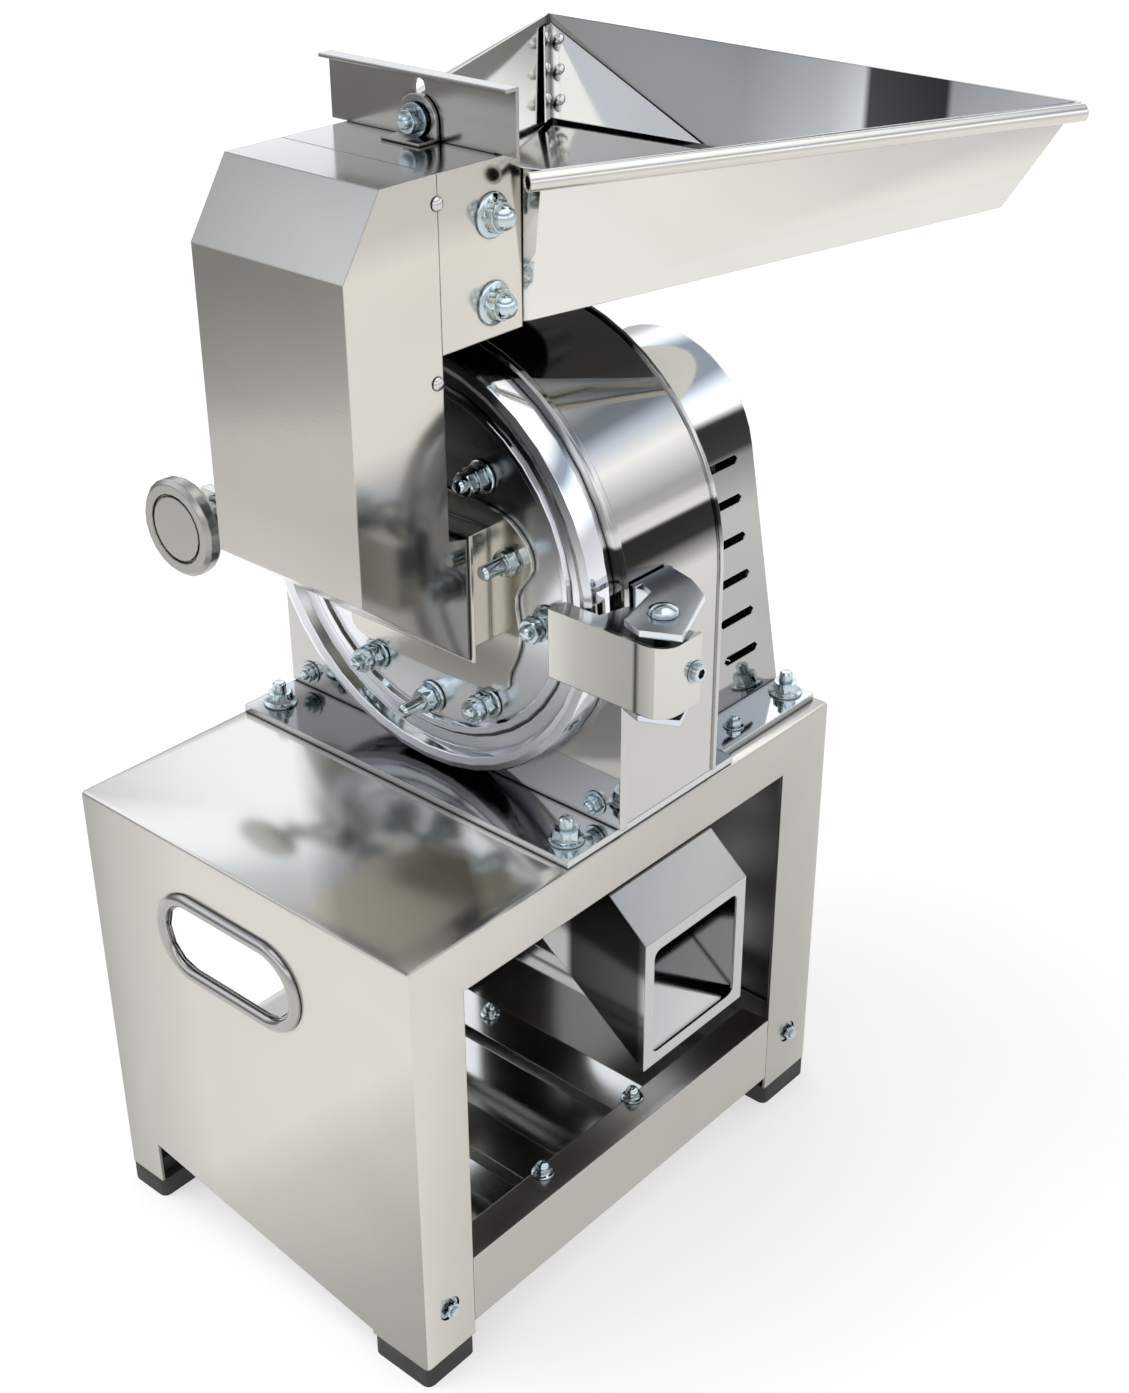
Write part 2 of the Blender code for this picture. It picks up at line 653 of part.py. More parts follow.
def build_cowl():
    """The motor's sheet cowl: a round top on flared sides, with a row of vents on each side."""
    low = STAND_TOP + 2 * GAP + BASE_PLATE
    angle = tangent_point((0, COWL_CENTRE_Z), COWL_RADIUS, (COWL_FOOT_HALF, low))
    outline = [(COWL_FOOT_HALF, low)] + arc((0, COWL_CENTRE_Z), COWL_RADIUS, angle, 180 - angle, 20)
    outline.append((-COWL_FOOT_HALF, low))
    front = DRUM_BACK + 2 * GAP
    cowl = prism(outline, "y", front, COWL_BACK)
    inner = inset_outline(outline, THIN_SHEET)
    inner[0] = (inner[0][0], low - PAST)
    inner[-1] = (inner[-1][0], low - PAST)
    cut(cowl, prism(inner, "y", front - PAST, COWL_BACK - THIN_SHEET))
    for i in range(VENT_COUNT):
        vent = stadium((VENT_CENTRE_Y, VENT_LOWEST + i * VENT_PITCH), VENT_LENGTH, VENT_HEIGHT, 2)
        cut(cowl, prism(vent, "x", -COWL_FOOT_HALF - PAST, COWL_FOOT_HALF + PAST))
    cut(cowl, rod(GLAND_NECK + CUT_CLEAR, COWL_BACK - PAST, COWL_BACK + PAST, GLAND_PLACE))
    give(cowl, "motor_cowl", "base")
    gland = revolve([(0.0045, COWL_BACK - 0.010), (GLAND_NECK, COWL_BACK - 0.010),
                     (GLAND_NECK, COWL_BACK + GAP), (0.0120, COWL_BACK + GAP), (0.0120, COWL_BACK + 0.006),
                     (0.0095, COWL_BACK + 0.007), (0.0080, COWL_BACK + 0.015),
                     (0.0045, COWL_BACK + 0.015)], GLAND_PLACE, segments=14, mat=BLACK_PLASTIC)
    give(gland, "cable_gland", "base")


def build_motor_base():
    """The plate under the motor, held down by a stud and nut at each rear corner."""
    low = STAND_TOP + GAP
    plate = box((-MOTOR_PLATE_HALF, MOTOR_PLATE_HALF), (BASE_BACK + 0.0005, MOTOR_PLATE_BACK),
                (low, low + BASE_PLATE))
    add_table_studs(plate, MOTOR_STUD, low + BASE_PLATE)
    give(plate, "motor_base_plate", "base")


def finned_outline():
    """The motor frame's ribbed outside."""
    points = []
    for i in range(FRAME_FINS):
        for part, reach in ((0.0, 0.0), (0.0, FIN_HEIGHT), (0.4, FIN_HEIGHT), (0.4, 0.0)):
            angle = math.tau * (i + part) / FRAME_FINS
            radius = FRAME_RADIUS + reach
            points.append((radius * math.cos(angle), SHAFT_Z + radius * math.sin(angle)))
    return points


def build_motor():
    """Motor frame on its foot, end shields, bearings and stator."""
    axis = (0, 0, SHAFT_Z)
    foot = STAND_TOP + 2 * GAP + BASE_PLATE
    frame = prism(finned_outline(), "y", *FRAME_Y, CAST)
    join(frame, prism([(-0.060, foot), (0.060, foot), (0.060, foot + 0.008), (0.040, foot + 0.012),
                       (0.040, SHAFT_Z - 0.030), (-0.040, SHAFT_Z - 0.030), (-0.040, foot + 0.012),
                       (-0.060, foot + 0.008)], "y", *FRAME_FOOT_Y))
    cut(frame, rod(FRAME_BORE, FRAME_Y[0] - PAST, FRAME_Y[1] + PAST, axis, segments=48))
    give(frame, "motor_frame", "base")

    stator = ring(STATOR_BORE, FRAME_BORE - GAP, *STATOR_Y, axis, segments=24, mat=COPPER)
    give(stator, "motor_stator", "base")

    for name, near, far, bearing in (("front", 0.3143, 0.3066, (0.3070, 0.3140)),
                                     ("rear", 0.3823, 0.3895, (0.3826, 0.3892))):
        shield = revolve([(BEARING_RADIUS + GAP, near), (FRAME_RADIUS + 0.002, near),
                          (FRAME_RADIUS + 0.002, near + (far - near) * 0.55), (0.034, far),
                          (BEARING_RADIUS + GAP, far)], axis, segments=24, mat=CAST)
        give(shield, f"motor_{name}_shield", "base")
        race = revolve([(SHAFT_RADIUS + GAP, bearing[0]), (0.0135, bearing[0]),
                        (0.0140, bearing[0] + 0.0008), (0.0165, bearing[0] + 0.0008),
                        (0.0170, bearing[0]), (BEARING_RADIUS, bearing[0]),
                        (BEARING_RADIUS, bearing[1]), (SHAFT_RADIUS + GAP, bearing[1])],
                       axis, segments=18, mat=TOOL_STEEL)
        give(race, f"{name}_bearing", "base")


def claw(radius, angle, radial, width, root, tip):
    """One tapered claw standing on a disc, pointing along Y."""
    bm = bmesh.new()
    made = bmesh.ops.create_cube(bm, size=1.0)["verts"]
    bmesh.ops.scale(bm, vec=(radial, abs(tip - root), width), verts=made)
    for vert in made:
        if (vert.co.y > 0) == (tip > root):
            vert.co.z *= CLAW_TAPER
    bmesh.ops.translate(bm, vec=(radius, (root + tip) / 2, 0), verts=made)
    turn = Matrix.Translation((0, 0, SHAFT_Z)) @ Matrix.Rotation(angle, 4, "Y")
    bmesh.ops.transform(bm, matrix=turn, verts=made)
    return add_object("claw", bm, TOOL_STEEL)


def build_rotor():
    """Everything that spins: shaft, motor core, fan and the claw disc."""
    axis = (0, 0, SHAFT_Z)
    shaft = revolve([(0, 0.2350), (0.0070, 0.2350), (SHAFT_END_RADIUS, 0.2360),
                     (SHAFT_END_RADIUS, 0.2467), (SHAFT_RADIUS, 0.2467), (SHAFT_RADIUS, 0.3915),
                     (SHAFT_END_RADIUS, 0.3915), (SHAFT_END_RADIUS, 0.4045), (0, 0.4045)],
                    axis, segments=16, mat=TOOL_STEEL)
    give(shaft, "rotor_shaft", "rotor")
    core = ring(SHAFT_RADIUS + GAP, 0.0392, 0.3265, 0.3705, axis, segments=24, mat=CAST)
    give(core, "rotor_core", "rotor")

    bore = SHAFT_END_RADIUS + GAP
    fan = revolve([(bore, 0.3923), (0.0540, 0.3923), (0.0540, 0.3938), (0.0140, 0.3938),
                   (0.0130, 0.4030), (bore, 0.4030)], axis, segments=24, mat=BLACK_PLASTIC)
    for i in range(7):
        join(fan, claw(0.0335, math.tau * i / 7, 0.0400, 0.0016, 0.3930, 0.4020))
    give(fan, "cooling_fan", "rotor")

    disc = revolve([(SHAFT_RADIUS + GAP, 0.2470), (0.0220, 0.2470), (0.0280, 0.2560),
                    (0.0300, 0.2580), (CLAW_DISC_RADIUS, 0.2580), (CLAW_DISC_RADIUS, 0.2650),
                    (0.0300, 0.2670), (0.0240, 0.2770), (SHAFT_RADIUS + GAP, 0.2770)],
                   axis, segments=36, mat=TOOL_STEEL)
    for i in range(ROTOR_CLAWS):
        turn = math.tau / ROTOR_CLAWS
        join(disc, claw(OUTER_CLAW_RADIUS, turn * i, *OUTER_CLAW, CLAW_ROOT_Y, CLAW_TIP_Y))
        join(disc, claw(INNER_CLAW_RADIUS, turn * (i + 0.5), *INNER_CLAW, CLAW_ROOT_Y, CLAW_TIP_Y))
    give(disc, "claw_disc", "rotor")

    nut = fastener([("round", bore, 0.2382), ("hex", 0.0150, 0.2382), ("hex", 0.0150, 0.2450),
                    ("round", 0.0180, 0.2450), ("round", 0.0180, 0.2467), ("round", bore, 0.2467)],
                   axis, "+y", ZINC, hollow=True)
    give(nut, "disc_nut", "rotor")


def build_door():
    """The turned door with its ring of fixed claws, clamped by studs that carry their nuts."""
    axis = (0, 0, SHAFT_Z)
    inner_bead = [(0.1170 + 0.0040 * math.cos(a), DOOR_FACE - 0.0040 * math.sin(a))
                  for a in (math.pi * k / 3 for k in range(3, -1, -1))]
    outer_bead = [(0.1380 + 0.0065 * math.cos(a), 0.1725 - 0.0065 * math.sin(a))
                  for a in (math.pi * k / 4 for k in range(4, -1, -1))]
    profile = [(0, DOOR_FACE)] + inner_bead + [(0.1220, 0.1745), (0.1305, 0.1745)] + outer_bead
    profile += [(DOOR_RADIUS, DOOR_BACK), (0.1175, DOOR_BACK), (0.1175, 0.1925), (0.1130, 0.1925),
                (0.1130, DOOR_BACK), (0, DOOR_BACK)]
    door = revolve(profile, axis, segments=40, mat=MIRROR)
    cut(door, box((-NECK_HALF - CUT_CLEAR, NECK_HALF + CUT_CLEAR), (DOOR_FACE - PAST, DOOR_BACK + PAST),
                  (NECK_Z[0] - CUT_CLEAR, NECK_Z[1] + CUT_CLEAR)))
    for x, z, _ in STUD_PLACES.values():
        cut(door, rod(STUD_RADIUS + CUT_CLEAR, DOOR_FACE - PAST, DOOR_BACK + PAST, (x, 0, z), segments=12))
    give(door, "door_plate", "door")

    claws = ring(0.0700, 0.1100, DOOR_BACK + GAP, FIXED_CLAW_ROOT_Y + 0.001, axis, segments=32,
                 mat=TOOL_STEEL)
    for i in range(FIXED_CLAWS):
        join(claws, claw(FIXED_CLAW_RADIUS, math.tau * (i + 0.5) / FIXED_CLAWS, *FIXED_CLAW,
                         FIXED_CLAW_ROOT_Y, FIXED_CLAW_TIP_Y))
    for x, z, _ in STUD_PLACES.values():
        cut(claws, rod(STUD_RADIUS + GAP, 0.18, STUD_END + GAP, (x, 0, z), segments=12))
    give(claws, "fixed_claw_ring", "door")

    for name, (x, z, tip) in STUD_PLACES.items():
        seat = DOOR_FACE - GAP
        if name.startswith("inlet"):
            seat -= 0.0030 + GAP
        rings = [("round", STUD_RADIUS, seat - STUD_END), ("round", STUD_RADIUS, 0.0),
                 ("round", STUD_WASHER, 0.0), ("round", STUD_WASHER, 0.0016), ("hex", STUD_NUT, 0.0016),
                 ("hex", STUD_NUT, 0.0140), ("round", STUD_RADIUS, 0.0140),
                 ("round", STUD_RADIUS, seat - tip)]
        give(fastener(rings, (x, seat, z), "-y"), f"door_stud_{name}", "door")


INLET_PLATE = ((0.055, 0.412), (0.071, 0.430), (0.080, 0.456), (0.0775, 0.484), (0.0905, 0.506),
               (0.083, 0.525), (0.058, 0.5375), (0.000, 0.5395))


def build_inlet():
    """The square inlet neck through the door, with its wavy stiffening plate and front flange."""
    front = BOX_FOOT + GAP
    neck = box((-NECK_HALF, NECK_HALF), (front, 0.1925), NECK_Z)
    half = list(INLET_PLATE)
    mirrored = [(-x, z) for x, z in reversed(half) if x > 0]
    join(neck, prism(smooth_outline(half + mirrored, 4), "y", DOOR_FACE - GAP - 0.003, DOOR_FACE - GAP))
    join(neck, box((-0.063, 0.063), (front, front + 0.0025), (NECK_Z[0] - 0.0055, NECK_Z[1] + 0.0045)))
    cut(neck, box((-NECK_HALF + SHEET, NECK_HALF - SHEET), (0.12, 0.21),
                  (NECK_Z[0] + SHEET, NECK_Z[1] - SHEET)))
    for name, (x, z, _) in STUD_PLACES.items():
        if name.startswith("inlet"):
            cut(neck, rod(STUD_RADIUS + 0.0005, 0.16, 0.20, (x, 0, z), segments=12))
    give(neck, "inlet_neck", "door")


def build_hinge():
    """A folded arm from the door round the pin, held between the bracket's two ears."""
    outline = [(0.123, 0.150), (0.200, 0.150)] + arc((0.200, 0.159), 0.009, -90, 0, 5)[1:]
    outline += [(0.209, 0.185), (0.1545, 0.185), (0.1495, RIM_FRONT - GAP - 0.0002),
                (0.123, RIM_FRONT - GAP - 0.0002)]
    arm = prism(outline, "z", *ARM_Z, mat=MIRROR)
    hollow = [(0.120, 0.153), (0.200, 0.153)] + arc((0.200, 0.159), 0.006, -90, 0, 5)[1:]
    hollow += [(0.206, 0.200), (0.120, 0.200)]
    cut(arm, prism(hollow, "z", ARM_Z[0] + ARM_WALL, ARM_Z[1] - ARM_WALL))
    pin_axis = (HINGE_X, HINGE_Y, 0)
    join(arm, rod(0.0095, ARM_Z[0], ARM_Z[1], pin_axis, "z", 24, MIRROR))
    cut(arm, rod(PIN_RADIUS + GAP, 0.44, 0.52, pin_axis, "z", 24))
    give(arm, "hinge_arm", "door")

    side = DRUM_RADIUS + GAP
    ear = [(side, 0.230), (side, 0.202), (0.163, 0.196), (0.174, 0.158), (0.189, 0.153),
           (0.2110, 0.164), (0.189, 0.213), (0.170, 0.224)]
    bracket = box((side, 0.1525), (0.1945, 0.230), (ARM_Z[0] - 0.0065, ARM_Z[1] + 0.007), MIRROR)
    for low in (ARM_Z[1] + 0.003, ARM_Z[0] - 0.0065):
        join(bracket, prism(ear, "z", low, low + 0.004, MIRROR))
    cut(bracket, rod(PIN_RADIUS + GAP, 0.44, 0.52, pin_axis, "z", 24))
    give(bracket, "hinge_bracket", "base")

    top = ARM_Z[1] + 0.007 + GAP
    low = ARM_Z[0] - 0.0065 - GAP
    pin = revolve([(0, low - 0.004), (0.0075, low - 0.004), (0.0075, low), (PIN_RADIUS, low),
                   (PIN_RADIUS, top), (0.0090, top), (0.0085, top + 0.003), (0.0045, top + 0.0052),
                   (0, top + 0.0055)], pin_axis, "z", 16, ZINC)
    give(pin, "hinge_pin", "base")


def build_feed_box():
    """The tall feed box with its chamfered head and a floor that slopes down to the inlet."""
    low, high = NECK_Z[0] - 0.004, NECK_Z[1] + 0.002
    outline = [(BOX_FRONT, 0.513), (BOX_FOOT, low), (BOX_FOOT, high), (BOX_BACK, high + 0.004),
               (BOX_BACK, BOX_TOP), (0.092, BOX_TOP), (BOX_FRONT, 0.700)]
    feed = prism(outline, "x", -BOX_HALF, BOX_HALF)
    hollow = prism(inset_outline(outline, THIN_SHEET), "x", -BOX_HALF + THIN_SHEET,
                   BOX_HALF - THIN_SHEET)
    upper = box((-BOX_HALF + SHEET, BOX_HALF - SHEET), (0.125, 0.140),
                (THROAT_LOW + SHEET, BOX_TOP - SHEET))
    lower = box((-NECK_HALF + SHEET, NECK_HALF - SHEET), (0.143, 0.155),
                (NECK_Z[0] + SHEET, NECK_Z[1] - SHEET))
    cut(feed, hollow, upper, lower)
    give(feed, "feed_box", "door")


def build_throat():
    """The short duct from hopper to feed box, slotted on top for the gate."""
    throat = box((-BOX_HALF, BOX_HALF), (BOX_BACK + GAP, THROAT_BACK), (THROAT_LOW, BOX_TOP))
    cut(throat, box((-BOX_HALF + SHEET, BOX_HALF - SHEET), (0.12, 0.21),
                    (THROAT_LOW + SHEET, BOX_TOP - SHEET)))
    cut(throat, box((-GATE_HALF_LOW - 0.001, GATE_HALF_LOW + 0.001),
                    (GATE_Y - 0.0006, GATE_Y + GATE_SHEET + 0.0006), (BOX_TOP - 0.01, BOX_TOP + 0.01)))
    for side, direction in ((-1, "-x"), (1, "+x")):
        for z in (0.663, 0.713):
            dome = [("round", 0.0125, -0.0010), ("round", 0.0125, 0.0018), ("hex", 0.0092, 0.0018),
                    ("hex", 0.0092, 0.0080), ("round", 0.0066, 0.0080), ("round", 0.0062, 0.0118),
                    ("round", 0.0038, 0.0155)]
            join(throat, fastener(dome, (side * (BOX_HALF - 0.0002), 0.176, z), direction))
    give(throat, "feed_throat", "door")


def build_gate():
    """The sliding gate with its centre slot, the tongue it is clamped to, and the bolt."""
    back = GATE_Y + GATE_SHEET
    shoulder = BOX_TOP + GAP
    outline = [(-GATE_HALF_LOW, GATE_LOW), (GATE_HALF_LOW, GATE_LOW), (GATE_HALF_LOW, shoulder),
               (GATE_HALF_TOP, shoulder), (GATE_HALF_TOP, GATE_TOP), (-GATE_HALF_TOP, GATE_TOP),
               (-GATE_HALF_TOP, shoulder), (-GATE_HALF_LOW, shoulder)]
    gate = prism(outline, "y", GATE_Y, back)
    join(gate, box((-GATE_HALF_TOP, GATE_HALF_TOP), (GATE_Y - 0.008, back),
                   (GATE_TOP - GATE_SHEET, GATE_TOP + 0.0001)))
    slot_low = GATE_BOLT_Z - GATE_TRAVEL - 0.0065
    slot_high = GATE_BOLT_Z + 0.0225
    slot = stadium(((slot_low + slot_high) / 2, 0), slot_high - slot_low, 0.009, 4)
    cut(gate, prism([(x, z) for z, x in slot], "y", GATE_Y - 0.01, back + 0.01))
    give(gate, "feed_gate", "gate")

    low = BOX_TOP + GAP
    upright = (GATE_Y - 0.0031, GATE_Y - 0.0007)
    tongue_top = arc((0, GATE_BOLT_Z - 0.0005), 0.0150, 0, 180, 12)
    tongue = prism([(0.0150, low)] + tongue_top + [(-0.0150, low)], "y", *upright)
    join(tongue, box((-0.0150, 0.0150), (upright[0] - 0.014, upright[1]), (low, low + 0.0016)))
    cut(tongue, rod(0.0045, 0.17, 0.20, (0, 0, GATE_BOLT_Z), segments=16))
    give(tongue, "gate_tongue", "door")

    front = upright[0] - GAP
    rings = [("hex", 0.0072, front - 0.0065), ("hex", 0.0072, front - 0.0016),
             ("round", 0.0085, front - 0.0016), ("round", 0.0085, front), ("round", 0.004, front),
             ("round", 0.004, back + GAP), ("hex", 0.0072, back + GAP), ("hex", 0.0072, back + 0.0053),
             ("round", 0.004, back + 0.0053), ("round", 0.004, back + 0.0080)]
    give(fastener(rings, (0, 0, GATE_BOLT_Z), "+y"), "gate_bolt", "door")


def build_hopper():
    """The flared hopper tray: floor, three walls, turned-out lips and tabs into the throat."""
    bm = bmesh.new()
    neck_low, neck_high, tab_low, tab_high = {}, {}, {}, {}
    floor_front, floor_rear, rim_front, rim_rear = {}, {}, {}, {}
    for side in (-1, 1):
        neck_low[side] = bm.verts.new((side * TAB_X, HOPPER_FRONT, FLOOR_FRONT_Z))
        neck_high[side] = bm.verts.new((side * TAB_X, HOPPER_FRONT, RIM_Z))
        tab_low[side] = bm.verts.new((side * TAB_X, 0.152, FLOOR_FRONT_Z + 0.004))
        tab_high[side] = bm.verts.new((side * TAB_X, 0.152, RIM_Z))
        floor_front[side] = bm.verts.new((side * 0.0625, RIM_FRONT_CORNER[1], FLOOR_FRONT_Z + 0.0006))
        floor_rear[side] = bm.verts.new((side * FLOOR_REAR_CORNER[0], FLOOR_REAR_CORNER[1], FLOOR_REAR_Z))
        rim_front[side] = bm.verts.new((side * RIM_FRONT_CORNER[0], RIM_FRONT_CORNER[1], RIM_Z))
        rim_rear[side] = bm.verts.new((side * RIM_REAR_CORNER[0], RIM_REAR_CORNER[1], RIM_Z))
    for s in (-1, 1):
        bm.faces.new((tab_low[s], neck_low[s], neck_high[s], tab_high[s]))
        bm.faces.new((neck_low[s], floor_front[s], rim_front[s], neck_high[s]))
        bm.faces.new((floor_front[s], floor_rear[s], rim_rear[s], rim_front[s]))
    bm.faces.new((neck_low[-1], neck_low[1], floor_front[1], floor_front[-1]))
    bm.faces.new((floor_front[-1], floor_front[1], floor_rear[1], floor_rear[-1]))
    bm.faces.new((floor_rear[-1], floor_rear[1], rim_rear[1], rim_rear[-1]))
    lip_rear = [bm.verts.new((s * (RIM_REAR_CORNER[0] + (HOPPER_LIP if s < 0 else 0)),
                              RIM_REAR_CORNER[1] + HOPPER_LIP, RIM_Z - 0.0005)) for s in (-1, 1)]
    bm.faces.new((rim_rear[-1], rim_rear[1], lip_rear[1], lip_rear[0]))
    lip_left = bm.verts.new((-RIM_FRONT_CORNER[0] - HOPPER_LIP, RIM_FRONT_CORNER[1], RIM_Z - 0.0005))
    bm.faces.new((rim_front[-1], rim_rear[-1], lip_rear[0], lip_left))
    hopper = add_object("hopper", bm, SATIN)
    solidify = hopper.modifiers.new("sheet", "SOLIDIFY")
    solidify.thickness = THIN_SHEET
    solidify.offset = 0.0
    solidify.use_even_offset = True
    apply_modifiers(hopper)
    give(hopper, "hopper", "door")

    start = Vector((*RIM_FRONT_CORNER, 0))
    along = Vector((*RIM_REAR_CORNER, 0)) - start
    out = Vector((along.y, -along.x, 0)).normalized()
    centre = start + out * (RIM_TUBE + THIN_SHEET / 2 + 2 * GAP)
    tube = ring(RIM_TUBE - RIM_TUBE_WALL, RIM_TUBE, -0.012, along.length, (0, 0, 0), segments=16)
    turn = Matrix.Rotation(-math.atan2(along.x, along.y), 4, "Z")
    tube.data.transform(Matrix.Translation((centre.x, centre.y, RIM_Z - RIM_TUBE + RIM_TUBE_WALL)) @ turn)
    give(tube, "hopper_rim_tube", "door")
    for side, name in ((-1, "hopper_corner_left"), (1, "hopper_corner_right")):
        build_gusset(name, side)


def build_gusset(name, side):
    """A folded corner sheet: a strip on the side wall and a triangle that widens towards the floor."""
    low = Vector((side * FLOOR_REAR_CORNER[0], FLOOR_REAR_CORNER[1], FLOOR_REAR_Z))
    high = Vector((side * RIM_REAR_CORNER[0], RIM_REAR_CORNER[1], RIM_Z))
    front = Vector((side * RIM_FRONT_CORNER[0], RIM_FRONT_CORNER[1], RIM_Z))
    to_front = (front - high).normalized()
    to_middle = Vector((-side, 0, 0))
    off_floor = Vector((0, 0, 0.0024))
    off_side = (to_front + to_middle).normalized() * GUSSET_CLEAR
    fold_top = low.lerp(high, 0.94) + off_side
    fold_foot = low + to_front * GUSSET_LEAN + off_side + off_floor
    strip_top = fold_top + to_front * GUSSET_STRIP
    strip_foot = fold_foot + to_front * GUSSET_STRIP
    triangle_foot = low + to_middle * GUSSET_BASE - Vector((0, GUSSET_CLEAR, 0)) + off_floor
    bm = bmesh.new()
    for corners in ((fold_foot, fold_top, strip_top, strip_foot), (fold_foot, triangle_foot, fold_top)):
        bm.faces.new([bm.verts.new(corner) for corner in corners])
    gusset = add_object(name, bm, MIRROR)
    solidify = gusset.modifiers.new("sheet", "SOLIDIFY")
    solidify.thickness = GUSSET_SHEET
    solidify.offset = 0.0
    apply_modifiers(gusset)
    give(gusset, name, "door")


def build_clamp():
    """A captive screw through the door's lug into the housing's lug, turned by a round knob."""
    side = -DRUM_RADIUS - GAP
    lug = box((-0.197, side), (0.196, 0.210), (CLAMP_Z - 0.013, CLAMP_Z + 0.013), MIRROR)
    cut(lug, rod(0.0065, 0.19, 0.22, (CLAMP_X, 0, CLAMP_Z), segments=20))
    give(lug, "housing_clamp_lug", "base")

    back = RIM_FRONT - GAP - 0.0002
    lug = box((-0.197, -0.122), (back - 0.008, back), (CLAMP_Z - 0.014, CLAMP_Z + 0.014), MIRROR)
    cut(lug, rod(0.0056, 0.15, 0.18, (CLAMP_X, 0, CLAMP_Z), segments=20))
    give(lug, "door_clamp_lug", "door")

    front = back - 0.008 - GAP
    place = (CLAMP_X, 0, CLAMP_Z)
    washer = ring(0.0053, 0.0120, front - 0.0024, front, place, segments=24, mat=ZINC)
    give(washer, "thrust_washer", "clamp_slide")

    hub = front - 0.0024 - GAP
    face = KNOB_FACE_Y
    clip = back + CLAMP_TRAVEL + 0.0006
    knob = revolve([(0, face + 0.0006), (0.0225, face + 0.0006), (0.0228, face + 0.0022),
                    (0.0240, face + 0.0022), (0.0246, face + 0.0003), (0.0310, face),
                    (KNOB_RADIUS, face + 0.0030), (KNOB_RADIUS, face + 0.0100),
                    (0.0320, face + 0.0130), (0.0100, face + 0.0130), (0.0095, hub), (0.0050, hub),
                    (0.0050, clip), (0.0090, clip), (0.0090, clip + 0.0018), (0.0050, clip + 0.0018),
                    (0.0050, 0.2045), (0.0040, 0.2060), (0, 0.2060)], place, segments=22, mat=SATIN)
    give(knob, "clamp_knob", "clamp_turn")


def base_centre():
    """The middle of the machine's box, seen from above."""
    corners = [obj.matrix_world @ Vector(corner) for obj in bpy.data.objects
               if obj.type == "MESH" for corner in obj.bound_box]
    xs = [corner.x for corner in corners]
    ys = [corner.y for corner in corners]
    return (min(xs) + max(xs)) / 2, (min(ys) + max(ys)) / 2


def main():
    machine = bpy.data.objects.new("machine", None)
    bpy.context.scene.collection.objects.link(machine)
    places = {
        "base": (0, 0, 0),
        "rotor": (0, 0.258, SHAFT_Z),
        "door": (HINGE_X, HINGE_Y, 0.478),
        "gate": (0, GATE_Y, BOX_TOP),
        "clamp_slide": (CLAMP_X, KNOB_FACE_Y, CLAMP_Z),
        "clamp_turn": (CLAMP_X, KNOB_FACE_Y, CLAMP_Z),
    }
    for name, place in places.items():
        make_body(name, place)
    build_stand()
    build_handle_ring("front_handle_ring", -GAP, -1)
    build_handle_ring("rear_handle_ring", STAND_DEPTH + GAP, 1)
    build_rails()
    build_crossbars()
    build_tray()
    build_feet()
    build_chamber()
    build_chute()
    build_screen()
    build_motor_base()
    build_cowl()
    build_motor()
    build_rotor()
    build_door()
    build_inlet()
    build_hinge()
    build_feed_box()
    build_throat()
    build_gate()
    build_hopper()
    build_clamp()
    bpy.context.view_layer.update()
    centre_x, centre_y = base_centre()
    for empty in BODIES.values():
        empty.parent = machine
    machine.location = (-centre_x, -centre_y, -FLOOR)
    bpy.context.view_layer.update()


main()
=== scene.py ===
"""Looks for the spice grinding machine: studio, procedural materials and the small fasteners.

Places are given on the bench that the part is drawn on, in metres: X to the machine's right from
the stand's middle, Y from its front panel to the back, Z up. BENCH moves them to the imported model.
"""
import json
import math

import bmesh
import bpy
from mathutils import Matrix, Vector


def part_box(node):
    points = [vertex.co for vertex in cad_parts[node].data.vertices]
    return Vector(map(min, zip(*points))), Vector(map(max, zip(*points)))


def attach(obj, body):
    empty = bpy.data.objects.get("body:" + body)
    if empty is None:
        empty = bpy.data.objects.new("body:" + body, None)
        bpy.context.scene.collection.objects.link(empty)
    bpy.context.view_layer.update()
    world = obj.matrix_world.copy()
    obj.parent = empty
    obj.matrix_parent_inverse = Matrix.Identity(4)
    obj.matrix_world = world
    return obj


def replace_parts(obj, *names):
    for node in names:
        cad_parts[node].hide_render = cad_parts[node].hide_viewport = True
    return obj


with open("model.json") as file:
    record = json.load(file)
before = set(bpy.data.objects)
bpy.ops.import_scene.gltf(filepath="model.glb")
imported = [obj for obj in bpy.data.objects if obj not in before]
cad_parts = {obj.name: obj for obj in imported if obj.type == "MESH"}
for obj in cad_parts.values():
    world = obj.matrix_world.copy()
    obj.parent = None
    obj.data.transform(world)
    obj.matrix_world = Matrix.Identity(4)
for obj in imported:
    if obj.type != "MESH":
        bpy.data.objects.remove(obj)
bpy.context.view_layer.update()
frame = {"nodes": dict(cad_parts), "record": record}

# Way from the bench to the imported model, to the micrometre, by the stand's middle, front and table top
TABLE_TOP = 0.336
stand_low, stand_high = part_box("stand_shell")
way = ((stand_low.x + stand_high.x) / 2, stand_low.y, stand_high.z - TABLE_TOP)
BENCH = Vector([round(length, 6) for length in way])

# Camera: place in metres, turns in degrees, lens and sensor in millimetres
CAMERA_PLACE = Vector((0.80673, -0.61536, 1.0193)) + BENCH
CAMERA_YAW = 41.23
CAMERA_PITCH = 29.34
CAMERA_ROLL = -0.19
CAMERA_LENS = 51.47
SENSOR_WIDTH = 36.0
CAMERA_NEAR = 0.01

# Directions on the machine
FRONT = Vector((0, -1, 0))
REAR = Vector((0, 1, 0))
RIGHT = Vector((1, 0, 0))
LEFT = Vector((-1, 0, 0))
UP = Vector((0, 0, 1))
DOWN = Vector((0, 0, -1))
CHAMFER = Vector((0, -0.829, 0.559))
CHUTE_TOP = Vector((0.55, 0, 0.835))
SIDES = ((-1, "left", LEFT), (1, "right", RIGHT))

